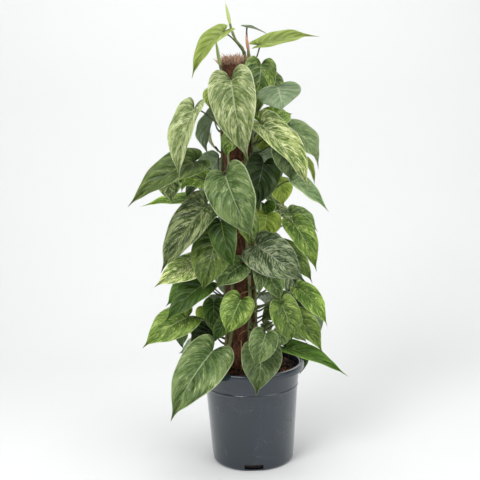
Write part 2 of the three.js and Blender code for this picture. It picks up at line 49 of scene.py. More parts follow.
# places that everything else is worked out from, in metres
sleeveLow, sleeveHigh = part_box("coir_sleeve")
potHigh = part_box("pot")[1]
soilLow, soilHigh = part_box("soil")
plant = dict(
    poleX=(sleeveLow.x + sleeveHigh.x) / 2,
    poleRadius=(sleeveHigh.x - sleeveLow.x) / 2,
    poleTop=sleeveHigh.z,
    poleBottom=sleeveLow.z,
    lipRadius=potHigh.x,
    potHeight=potHigh.z,
    soil=soilHigh.z - 3 * mm,  # the mound in the middle stands 3 mm proud of this
    stemRadius=2.6 * mm,
    stalkRadius=1.3 * mm,
    gap=0.3 * mm,
)


def paint(code):
    # a colour as it looks on screen, as the linear values that shaders take
    parts = [int(code[i:i + 2], 16) / 255 for i in (1, 3, 5)]
    return tuple(p / 12.92 if p < 0.04045 else ((p + 0.055) / 1.055) ** 2.4 for p in parts) + (1,)


def pickOnly(piece):
    bpy.ops.object.select_all(action="DESELECT")
    piece.select_set(True)
    bpy.context.view_layer.objects.active = piece


def finishPiece(piece, name, slotName, materials, *nodes):
    piece.name = name
    piece.data.name = name
    for material in materials:
        piece.data.materials.append(material)
    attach(piece, "root")
    if nodes:
        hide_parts(*nodes)
    return piece


def fromBmesh(shape, name):
    mesh = bpy.data.meshes.new(name)
    shape.to_mesh(mesh)
    shape.free()
    piece = bpy.data.objects.new(name, mesh)
    bpy.context.collection.objects.link(piece)
    return piece


def lathe(profile, sides, x=0.0, ring=False):
    # a circle pulled out step by step along (radius, height) pairs; ring joins the last to the first
    radius, height = profile[0]
    bpy.ops.mesh.primitive_circle_add(vertices=sides, radius=radius, location=(x, 0, height))
    piece = bpy.context.object
    bpy.ops.object.transform_apply(location=True)
    bpy.ops.object.mode_set(mode="EDIT")
    bpy.ops.mesh.select_all(action="SELECT")
    for nextRadius, nextHeight in profile[1:]:
        bpy.ops.mesh.extrude_region_move(
            TRANSFORM_OT_translate={"value": (0, 0, nextHeight - height)})
        size = nextRadius / radius
        bpy.ops.transform.resize(value=(size, size, 1), center_override=(x, 0, nextHeight))
        radius, height = nextRadius, nextHeight
    bpy.ops.mesh.select_all(action="DESELECT")
    bpy.ops.mesh.select_mode(type="EDGE")
    bpy.ops.mesh.select_non_manifold(extend=False)
    if ring:
        bpy.ops.mesh.bridge_edge_loops()
    else:
        bpy.ops.mesh.fill_holes(sides=0)
    bpy.ops.mesh.select_all(action="SELECT")
    bpy.ops.mesh.normals_make_consistent(inside=False)
    bpy.ops.object.mode_set(mode="OBJECT")
    return piece


def rounded(corners, steps=5):
    # (radius, height, rounding) corners, each rounded one swapped for a short curve
    path = []
    for i, (radius, height, rounding) in enumerate(corners):
        here = Vector((radius, height))
        if not rounding:
            path.append((radius, height))
            continue
        before = Vector(corners[i - 1][:2])
        after = Vector(corners[i + 1][:2])
        start = here + (before - here).normalized() * rounding
        end = here + (after - here).normalized() * rounding
        for step in range(steps + 1):
            t = step / steps
            point = start * (1 - t) ** 2 + here * 2 * t * (1 - t) + end * t * t
            path.append((point.x, point.y))
    return path


def sweepTube(shape, points, radii, sides, finish=0):
    # a round tube through the points, closed at both ends
    rings = []
    side = Vector((1, 0.1, 0.05))
    for i, point in enumerate(points):
        ahead = points[min(i + 1, len(points) - 1)] - points[max(i - 1, 0)]
        ahead.normalize()
        side = (side - ahead * side.dot(ahead)).normalized()
        other = ahead.cross(side)
        ringVerts = []
        for j in range(sides):
            angle = 2 * math.pi * j / sides
            offset = (side * math.cos(angle) + other * math.sin(angle)) * radii[i]
            ringVerts.append(shape.verts.new(point + offset))
        rings.append(ringVerts)
    for a, b in zip(rings, rings[1:]):
        for j in range(sides):
            k = (j + 1) % sides
            face = shape.faces.new((a[j], a[k], b[k], b[j]))
            face.material_index = finish
            face.smooth = True
    shape.faces.new(rings[0][::-1]).material_index = finish
    shape.faces.new(rings[-1]).material_index = finish


def displace(piece, name, size, strength, depth):
    # pushes the surface in and out by a cloudy pattern
    texture = bpy.data.textures.new(name, "CLOUDS")
    texture.noise_scale = size
    texture.noise_depth = depth
    modifier = piece.modifiers.new(name, "DISPLACE")
    modifier.texture = texture
    modifier.texture_coords = "LOCAL"
    modifier.strength = strength
    modifier.mid_level = 0.5
    return modifier


def applyAll(piece):
    pickOnly(piece)
    for modifier in list(piece.modifiers):
        bpy.ops.object.modifier_apply(modifier=modifier.name)


# one socket of a shader, so that sums of sockets read as sums
class Socket:
    def __init__(self, skin, out):
        self.skin = skin
        self.out = out

    def maths(self, operation, *values):
        return self.skin.add("ShaderNodeMath", {"operation": operation}, dict(enumerate(values)))

    def __add__(self, other):
        return self.maths("ADD", self, other)

    def __radd__(self, other):
        return self.maths("ADD", other, self)

    def __sub__(self, other):
        return self.maths("SUBTRACT", self, other)

    def __rsub__(self, other):
        return self.maths("SUBTRACT", other, self)

    def __mul__(self, other):
        return self.maths("MULTIPLY", self, other)

    def __abs__(self):
        return self.maths("ABSOLUTE", self)

    def fract(self):
        return self.maths("FRACT", self)

    # 0 below low, 1 above high, smooth between
    def between(self, low, high):
        settings = {"interpolation_type": "SMOOTHSTEP"}
        values = {"Value": self, "From Min": low, "From Max": high, "To Min": 0.0, "To Max": 1.0}
        return self.skin.add("ShaderNodeMapRange", settings, values)


class Skin:
    def __init__(self, name, constants=None):
        self.material = bpy.data.materials.new(name)
        self.material.use_nodes = True
        self.tree = self.material.node_tree
        self.shader = self.tree.nodes["Principled BSDF"]
        self.set(constants or {})

    def plug(self, node, values):
        for key, value in values.items():
            if isinstance(value, Socket):
                self.tree.links.new(value.out, node.inputs[key])
            else:
                node.inputs[key].default_value = value

    def add(self, kind, settings=None, values=None, out=0):
        node = self.tree.nodes.new(kind)
        for key, value in (settings or {}).items():
            setattr(node, key, value)
        self.plug(node, values or {})
        return Socket(self, node.outputs[out])

    def set(self, values):
        self.plug(self.shader, values)

    def places(self):
        return self.add("ShaderNodeTexCoord", out="Object")

    def stretched(self, vector, scale):
        return self.add("ShaderNodeVectorMath", {"operation": "MULTIPLY"}, {0: vector, 1: scale})

    def noise(self, vector, scale, detail=2.0, rough=0.5, twist=0.0):
        values = {"Vector": vector, "Scale": scale, "Detail": detail, "Roughness": rough,
                  "Distortion": twist}
        return self.add("ShaderNodeTexNoise", None, values)

    def mixed(self, mask, first, second):
        node = self.tree.nodes.new("ShaderNodeMix")
        node.data_type = "RGBA"
        self.plug(node, {0: mask, 6: first, 7: second})
        return Socket(self, node.outputs[2])

    def layered(self, colour, *layers):
        for mask, tone in layers:
            colour = self.mixed(mask, colour, paint(tone))
        return colour

    def relief(self, height, distance, strength=1.0):
        values = {"Height": height, "Distance": distance, "Strength": strength}
        self.set({"Normal": self.add("ShaderNodeBump", None, values)})


# body and patch are the main green and its soft patches, streak the pale flecks that run along
# the side veins, island the dark flecks between them; deep is the darker green of the blade's
# middle, also used as painted shade in the hollows by the side veins; the amounts go from 0 to 1
leafLooks = {
    "bright": dict(body="#869a3c", patch="#9bae52", streak="#bfc87e", island="#647d32",
                   deep="#728636", margin="#c2cd8a", streaks=0.34, islands=0.38, shine=0.33),
    "fresh": dict(body="#7d8f36", patch="#91a246", streak="#b3be72", island="#587026",
                  deep="#667a2c", margin="#b8c680", streaks=0.28, islands=0.4, shine=0.35),
    "mid": dict(body="#587326", patch="#728d38", streak="#adbb6c", island="#2f4918",
                deep="#39521c", margin="#b5c384", streaks=0.44, islands=0.5, shine=0.31),
    "dark": dict(body="#2f4a12", patch="#43621b", streak="#80954a", island="#182a06",
                 deep="#1d350a", margin="#92a45c", streaks=0.28, islands=0.36, shine=0.33),
    "lime": dict(body="#86925a", patch="#a0ac72", streak="#cad1a6", island="#546a36",
                 deep="#78884e", margin="#d3d8b0", streaks=0.46, islands=0.6, shine=0.37),
    "olive": dict(body="#5c7436", patch="#869a54", streak="#bec98c", island="#2a4319",
                  deep="#415a22", margin="#c3cc98", streaks=0.56, islands=0.62, shine=0.35),
    "cream": dict(body="#75863f", patch="#939f5a", streak="#c9cd9c", island="#3a5524",
                  deep="#62753a", margin="#d2d6ae", streaks=0.54, islands=0.6, shine=0.37),
    "blue": dict(body="#5c7248", patch="#73865e", streak="#9fab76", island="#3c5430",
                 deep="#4c6239", margin="#bdc79c", streaks=0.42, islands=0.5, shine=0.31),
    "white": dict(body="#4a6430", patch="#6a8050", streak="#b4c094", island="#233a17",
                  deep="#30461f", margin="#ccd1b4", streaks=0.6, islands=0.5, shine=0.33),
    "marbled": dict(body="#4d6330", patch="#677a46", streak="#94a272", island="#293c1c",
                    deep="#3b5424", margin="#b0bb90", streaks=0.4, islands=0.5, shine=0.35),
    "pale": dict(body="#768e54", patch="#93a772", streak="#bfc996", island="#4c6632",
                 deep="#628046", margin="#c4cda2", streaks=0.4, islands=0.42, shine=0.31),
    "sheath": dict(body="#b2b586", patch="#c4c69c", streak="#d8d7b8", island="#949c68",
                   deep="#a5a878", margin="#cfcdaa", streaks=0.3, islands=0.2, shine=0.45),
}
leafVeins = dict(perRow=1.3, sweep=1.5, width=0.1)
livingTissue = {
    "Subsurface Weight": 0.1,
    "Subsurface Radius": (0.8, 1.0, 0.2),
    "Subsurface Scale": 0.001,
    "Specular IOR Level": 0.3,
    "Coat Roughness": 0.25,
}


def leafPlaces(skin):
    # across from the midrib (0) to the margin (1), and rows from the stalk (0) to the tip (8)
    unwrapped = skin.add("ShaderNodeUVMap", {"uv_map": "leafMap"})
    split = skin.tree.nodes.new("ShaderNodeSeparateXYZ")
    skin.plug(split, {0: unwrapped})
    across = abs(Socket(skin, split.outputs[0]) * 2.0 - 1.0)
    side = Socket(skin, split.outputs[0]).between(0.49, 0.51)
    rows = Socket(skin, split.outputs[1]) * 8.0
    seed = skin.add("ShaderNodeAttribute", {"attribute_name": "leafSeed"}, out="Fac")
    return across, side, rows, seed


def veinRun(rows, across):
    # a side vein is a line of equal run: it leaves the midrib and sweeps on towards the tip
    return rows * leafVeins["perRow"] - (across + across * across) * (leafVeins["sweep"] / 2)


def veinMask(across, run):
    sideVein = 1 - abs(run.fract() - 0.5).between(0.0, leafVeins["width"])
    return sideVein * (1 - across.between(0.8, 1.0))


def upperSkin(look):
    tones = leafLooks[look]
    skin = Skin("leafUpper_" + look, livingTissue)
    across, side, rows, seed = leafPlaces(skin)
    run = veinRun(rows, across)
    veins = veinMask(across, run)
    midrib = 1 - across.between(0.0, 0.05)

    # flecks are short along the leaf and long along the side veins
    flecks = skin.add("ShaderNodeCombineXYZ", None,
                      {0: run * 2.8 + seed * 31.0, 1: across * 2.0 + side * 7.0, 2: seed * 17.0})
    broad = skin.add("ShaderNodeCombineXYZ", None,
                     {0: run * 0.55 + seed * 13.0, 1: across * 1.1 + side * 5.0, 2: seed * 9.0})
    fine = skin.noise(flecks, 2.9, 6.0, 0.66, 0.7)
    coarse = skin.noise(flecks, 1.0, 4.0, 0.58, 1.0)
    patches = skin.noise(broad, 1.7, 3.0, 0.55, 0.5)
    marble = fine * 0.5 + coarse * 0.3 + patches * 0.2
    cut = 0.64 - 0.24 * tones["streaks"]
    wash = marble.between(cut - 0.04, cut + 0.05)
    streaks = marble.between(cut + 0.01, cut + 0.045)
    cut = 0.64 - 0.24 * tones["islands"]
    islands = (1 - fine * 0.55 - coarse * 0.2 - patches * 0.25).between(cut, cut + 0.045)
    middle = (1 - across.between(0.1, 0.85)) * (1 - rows.between(3.5, 7.0))
    # painted shade: the blade is darker where it sinks towards a side vein, and the same mask lowers
    # the relief there
    valleys = (1 - abs(run.fract() - 0.5).between(0.06, 0.34)) * (1 - across.between(0.45, 0.95))

    colour = skin.mixed(patches.between(0.38, 0.62), paint(tones["body"]), paint(tones["patch"]))
    colour = skin.layered(
        colour, (middle * 0.75, tones["deep"]), (valleys * 0.5, tones["deep"]),
        (islands * 0.95, tones["island"]), (wash * 0.55, tones["patch"]),
        (streaks * 0.9, tones["streak"]), (veins * 0.24, tones["streak"]),
        (midrib * 0.55, tones["margin"]))
    margin = (across + (fine - 0.5) * 0.08).between(0.95, 0.985)
    colour = skin.layered(
        colour, (margin * 0.6, tones["margin"]), (rows.between(7.75, 7.97) * 0.7, "#7a5232"))
    # painted light and shade, partly the leaf's own tone: the colour scaled up or down leaf by leaf
    light = skin.add("ShaderNodeAttribute", {"attribute_name": "leafToneAndLight"}, out="Fac")
    skin.set({"Base Color": skin.stretched(colour, light)})
    skin.set({"Roughness": tones["shine"] + (coarse - 0.5) * 0.2 + streaks * 0.05})

    cells = skin.noise(skin.places(), 1400.0, 2.0, 0.6)
    height = midrib * -1.0 - veins * 0.6 - valleys * 0.8 + cells * 0.16 + coarse * 0.6 + fine * 0.25
    skin.relief(height, 0.9 * mm, 0.9)
    return skin.material


def underSkin():
    skin = Skin("leafUnderside", livingTissue)
    across, side, rows, seed = leafPlaces(skin)
    veins = veinMask(across, veinRun(rows, across))
    midrib = 1 - across.between(0.0, 0.07)
    broad = skin.add("ShaderNodeCombineXYZ", None,
                     {0: rows * 0.8 + seed * 23.0, 1: across * 1.2 + side * 3.0, 2: seed * 5.0})
    clouds = skin.noise(broad, 2.0, 4.0, 0.55, 0.4)
    colour = skin.mixed(clouds.between(0.35, 0.65), paint("#7f9670"), paint("#98aa86"))
    colour = skin.layered(
        colour, (veins * 0.5, "#b4c19c"), (midrib * 0.8, "#c3cca6"),
        (across.between(0.95, 0.99) * 0.6, "#c0c8a2"))
    skin.set({"Base Color": colour})
    skin.set({"Roughness": 0.5 + (clouds - 0.5) * 0.14})
    cells = skin.noise(skin.places(), 1100.0, 2.0, 0.6)
    skin.relief(veins * 0.7 + midrib * 1.2 + cells * 0.22, 0.5 * mm, 0.7)
    return skin.material


def stalkSkin():
    skin = Skin("leafStalk", {"Specular IOR Level": 0.45, "Coat Roughness": 0.3})
    where = skin.places()
    clouds = skin.noise(where, 60.0, 3.0, 0.55)
    lines = skin.noise(skin.stretched(where, (900.0, 900.0, 120.0)), 1.0, 3.0, 0.6)
    colour = skin.mixed(clouds.between(0.35, 0.65), paint("#353f20"), paint("#55642f"))
    colour = skin.mixed(lines.between(0.55, 0.75) * 0.5, colour, paint("#7b8450"))
    skin.set({"Base Color": colour, "Roughness": 0.42 + (lines - 0.5) * 0.2})
    skin.relief(lines, 0.3 * mm, 0.5)
    return skin.material


def stemSkin():
    skin = Skin("greenStem", {"Specular IOR Level": 0.45})
    where = skin.places()
    clouds = skin.noise(where, 38.0, 3.0, 0.55)
    lines = skin.noise(skin.stretched(where, (800.0, 800.0, 60.0)), 1.0, 4.0, 0.6)
    colour = skin.mixed(clouds.between(0.35, 0.6), paint("#5b6533"), paint("#8a9258"))
    colour = skin.layered(
        colour, (lines.between(0.5, 0.72) * 0.7, "#3d4723"),
        (clouds.between(0.6, 0.74) * 0.7, "#6d4a32"))
    skin.set({"Base Color": colour, "Roughness": 0.46 + (lines - 0.5) * 0.2})
    skin.relief(lines, 0.4 * mm, 0.7)
    return skin.material


def budSkin(name, low, high):
    # a rolled new leaf, streaked along its length between two colours
    skin = Skin(name, livingTissue)
    where = skin.places()
    lines = skin.noise(skin.stretched(where, (900.0, 900.0, 50.0)), 1.0, 3.0, 0.6)
    colour = skin.mixed(lines.between(0.35, 0.65), paint(low), paint(high))
    skin.set({"Base Color": colour, "Roughness": 0.4 + (lines - 0.5) * 0.15})
    skin.relief(lines, 0.3 * mm, 0.5)
    return skin.material


def rootSkin():
    skin = Skin("aerialRoot", {"Specular IOR Level": 0.3})
    where = skin.places()
    clouds = skin.noise(where, 160.0, 4.0, 0.6)
    colour = skin.mixed(clouds.between(0.35, 0.65), paint("#8f6a45"), paint("#c0a878"))
    skin.set({"Base Color": colour, "Roughness": 0.75 + (clouds - 0.5) * 0.2})
    skin.relief(clouds, 0.4 * mm, 0.8)
    return skin.material


def coirSkin(name, dark, mid, pale, shade, depth):
    # shade is the strength of the painted shade in the hollows between clumps, depth is the height of
    # the relief in millimetres
    skin = Skin(name, {"Specular IOR Level": 0.25, "Sheen Weight": 0.15, "Sheen Roughness": 0.5})
    where = skin.places()
    upright = skin.noise(skin.stretched(where, (520.0, 520.0, 42.0)), 1.0, 6.0, 0.68, 0.5)
    slanting = skin.noise(skin.stretched(where, (150.0, 150.0, 620.0)), 1.0, 5.0, 0.65, 1.2)
    clumps = skin.noise(where, 70.0, 4.0, 0.6)
    colour = skin.mixed(upright.between(0.36, 0.6), paint(dark), paint(mid))
    # pale slanting fibres, then painted shade in the hollows between clumps
    colour = skin.layered(
        colour, (slanting.between(0.54, 0.7) * 0.75, pale),
        ((1 - clumps).between(0.52, 0.68) * shade, "#24140f"))
    skin.set({"Base Color": colour, "Roughness": 0.86 + (upright - 0.5) * 0.2})
    skin.relief(upright * 0.6 + slanting * 0.5 + clumps * 0.4, depth * mm, 0.9)
    return skin.material


def soilSkin():
    skin = Skin("pottingMix", {"Specular IOR Level": 0.25})
    where = skin.places()
    grains = skin.noise(where, 900.0, 5.0, 0.7)
    clumps = skin.noise(where, 120.0, 4.0, 0.6)
    colour = skin.mixed(clumps.between(0.35, 0.65), paint("#17100d"), paint("#33231b"))
    colour = skin.mixed(grains.between(0.6, 0.72) * 0.6, colour, paint("#6b4430"))
    skin.set({"Base Color": colour, "Roughness": 0.9 + (clumps - 0.5) * 0.2})
    skin.relief(grains * 0.6 + clumps, 1.5 * mm, 0.9)
    return skin.material


def chipSkin():
    skin = Skin("barkChip", {"Specular IOR Level": 0.3})
    where = skin.places()
    kinds = skin.noise(where, 55.0, 1.0, 0.4)
    grain = skin.noise(skin.stretched(where, (700.0, 260.0, 700.0)), 1.0, 4.0, 0.65)
    colour = skin.mixed(kinds.between(0.42, 0.6), paint("#33201a"), paint("#6e412d"))
    colour = skin.layered(
        colour, (kinds.between(0.6, 0.7), "#9a6c4c"), (grain.between(0.5, 0.7) * 0.6, "#27170f"))
    skin.set({"Base Color": colour, "Roughness": 0.82 + (grain - 0.5) * 0.2})
    skin.relief(grain, 0.8 * mm, 0.9)
    return skin.material


def potSkin():
    # satin moulded plastic: faint soft flow marks, fine grain, scuffs and dusty patches
    skin = Skin("potPlastic", {"Specular IOR Level": 0.5, "Coat Roughness": 0.15})
    where = skin.places()
    flow = skin.noise(skin.stretched(where, (24.0, 24.0, 7.0)), 1.0, 3.0, 0.5)
    grain = skin.noise(where, 2600.0, 2.0, 0.5)
    dust = skin.noise(where, 42.0, 5.0, 0.65, 0.6)
    scuffs = skin.noise(skin.stretched(where, (160.0, 160.0, 1300.0)), 1.0, 4.0, 0.7, 0.6)
    marks = scuffs.between(0.66, 0.74)
    colour = skin.mixed(flow.between(0.3, 0.7), paint("#121f2a"), paint("#182835"))
    colour = skin.layered(
        colour, (dust.between(0.5, 0.75) * 0.12, "#5d666c"), (marks * 0.12, "#596166"))
    skin.set({"Base Color": colour, "Coat Weight": 0.6})
    skin.set({"Roughness": 0.25 + (flow - 0.5) * 0.06 + dust.between(0.5, 0.75) * 0.05})
    skin.relief(flow * 0.35 + grain * 0.05 - marks * 0.04, 0.4 * mm, 0.3)
    return skin.material


def stakeSkin():
    skin = Skin("stakeWood", {"Specular IOR Level": 0.3})
    where = skin.places()
    grain = skin.noise(skin.stretched(where, (420.0, 420.0, 14.0)), 1.0, 5.0, 0.65, 0.4)
    colour = skin.mixed(grain.between(0.35, 0.65), paint("#5d3f25"), paint("#9a7346"))
    skin.set({"Base Color": colour, "Roughness": 0.75 + (grain - 0.5) * 0.2})
    skin.relief(grain, 0.5 * mm, 0.7)
    return skin.material


def floorSkin():
    skin = Skin("paleFloor", {"Roughness": 0.6, "Specular IOR Level": 0.25})
    clouds = skin.noise(skin.places(), 3.0, 2.0, 0.5)
    skin.set({"Base Color": skin.mixed(clouds, paint("#ebecec"), paint("#eeefef"))})
    return skin.material


studio = dict(
    camera=(-0.012, -1.120, 0.476), lookDown=7.6, lean=-1.4, lens=58.5,
    world=0.52, keyPower=20.0, fillPower=7.5, topPower=8.5, backPower=1.2,
    floor=dict(width=7.0, front=-3.0, back=1.1, height=3.2, bend=0.6),
)


def softLight(name, place, target, size, power):
    bpy.ops.object.light_add(type="AREA", location=place)
    light = bpy.context.object
    light.name = name
    light.data.shape = "DISK"
    light.data.size = size
    light.data.energy = power
    aim = Vector(target) - Vector(place)
    light.rotation_euler = aim.to_track_quat("-Z", "Y").to_euler()


def makeStudio():
    bpy.ops.object.camera_add(location=studio["camera"])
    camera = bpy.context.object
    camera.data.sensor_width = 36
    camera.data.lens = studio["lens"]
    camera.rotation_euler = (math.radians(90 - studio["lookDown"]), 0, 0)
    camera.rotation_euler.rotate_axis("Z", math.radians(studio["lean"]))
    bpy.context.scene.camera = camera

    world = bpy.data.worlds.new("studioWhite")
    world.use_nodes = True
    world.node_tree.nodes["Background"].inputs["Color"].default_value = (1, 1, 1, 1)
    world.node_tree.nodes["Background"].inputs["Strength"].default_value = studio["world"]
    bpy.context.scene.world = world
    bpy.context.scene.view_settings.view_transform = "Standard"

    softLight("keyLight", (-0.9, -1.3, 1.5), (0, 0, 0.35), 0.9, studio["keyPower"])
    softLight("fillLight", (1.3, -1.1, 0.9), (0, 0, 0.3), 1.2, studio["fillPower"])
    softLight("topLight", (0.1, -0.1, 1.8), (0, 0, 0.4), 1.2, studio["topPower"])
    softLight("backLight", (0.0, 0.1, 1.9), (0, 1.1, 0.7), 1.6, studio["backPower"])

    # a pale floor that turns up into the backdrop behind the plant
    sheet = studio["floor"]
    bpy.ops.mesh.primitive_plane_add(size=1)
    floor = bpy.context.object
    floor.name = "studioFloor"
    bpy.ops.object.mode_set(mode="EDIT")
    bpy.ops.mesh.select_all(action="SELECT")
    depth = sheet["back"] - sheet["front"]
    bpy.ops.transform.resize(value=(sheet["width"], depth, 1))
    bpy.ops.transform.translate(value=(0, sheet["front"] + depth / 2, 0))
    bpy.ops.object.mode_set(mode="OBJECT")
    for edge in floor.data.edges:
        ends = [floor.data.vertices[i].co.y for i in edge.vertices]
        edge.select = min(ends) > 0
    for vertex in floor.data.vertices:
        vertex.select = vertex.co.y > 0
    floor.data.polygons[0].select = False
    bpy.ops.object.mode_set(mode="EDIT")
    bpy.ops.mesh.select_mode(type="EDGE")
    bpy.ops.mesh.extrude_region_move(
        TRANSFORM_OT_translate={"value": (0, 0, sheet["height"])})
    bpy.ops.object.mode_set(mode="OBJECT")
    bend = floor.modifiers.new("bend", "BEVEL")
    bend.width = sheet["bend"]
    bend.segments = 24
    bend.limit_method = "ANGLE"
    applyAll(floor)
    bpy.ops.object.shade_smooth()
    floor.data.materials.append(floorSkin())


makeStudio()
print("studio ready")


# stems: points up the pole from the soil as (turn from the front, out from where the stem rests on
# the pole, up from the soil), in degrees and millimetres, then the tip of the rolled new leaf
stemTable = [
    dict(name="stem_front_left",
         route=[(-54, 15.1, -14), (-48, 8.1, 18), (-40, 0.7, 52), (-30, 0.3, 120),
                (-35, 0.3, 190), (-28, 0.3, 260), (-34, 0.3, 330), (-38, 0.5, 400),
                (-41, 7.1, 430)],
         bud=(-45, 14.1, 475)),
    dict(name="stem_left",
         route=[(-130, 15.1, -14), (-122, 7.1, 18), (-114, 0.7, 52), (-106, 0.3, 120),
                (-113, 0.3, 200), (-105, 0.3, 270), (-112, 0.3, 330), (-108, 1.1, 372)],
         bud=(-100, 11.1, 398)),
    dict(name="stem_right",
         route=[(84, 15.1, -14), (78, 6.1, 18), (72, 0.7, 52), (64, 0.3, 120), (71, 0.3, 200),
                (65, 0.3, 280), (72, 0.3, 360), (68, 0.5, 432), (64, -0.9, 452)],
         bud=(60, -4.9, 482)),
    dict(name="stem_back",
         route=[(162, 15.1, -14), (156, 7.1, 18), (148, 0.7, 52), (155, 0.3, 130),
                (147, 0.3, 210), (154, 0.3, 290), (148, 0.3, 370), (150, 0.5, 430),
                (146, 0.1, 446)]),
    dict(name="stem_front_right",
         route=[(20, 15.1, -14), (24, 7.1, 18), (28, 0.7, 52), (34, 0.3, 120), (26, 0.3, 190),
                (33, 0.3, 260), (26, 0.3, 330), (33, 0.3, 400), (40, 0.7, 440),
                (34, -2.9, 458), (9, -8.9, 470), (-15, -5.9, 487)],
         bud=(-33, -1.9, 523)),
]


def leafRow(stem, node, base, tip, face, width, fold, bow, look, light=1.0, overLip=False):
    # base and tip are (turn, out, up), with out measured from the outer side of the stems, or from
    # the pot's lip where overLip is set; face is the way the upper side looks, as (turn, rise);
    # node is where the stalk leaves its stem, fold lifts both halves and bow arches the blade;
    # light scales the leaf's colour, partly for its own tone and partly as painted light and shade
    return dict(stem=stem, node=node, base=base, tip=tip, face=face, width=width, fold=fold,
                bow=bow, look=look, light=light, overLip=overLip)


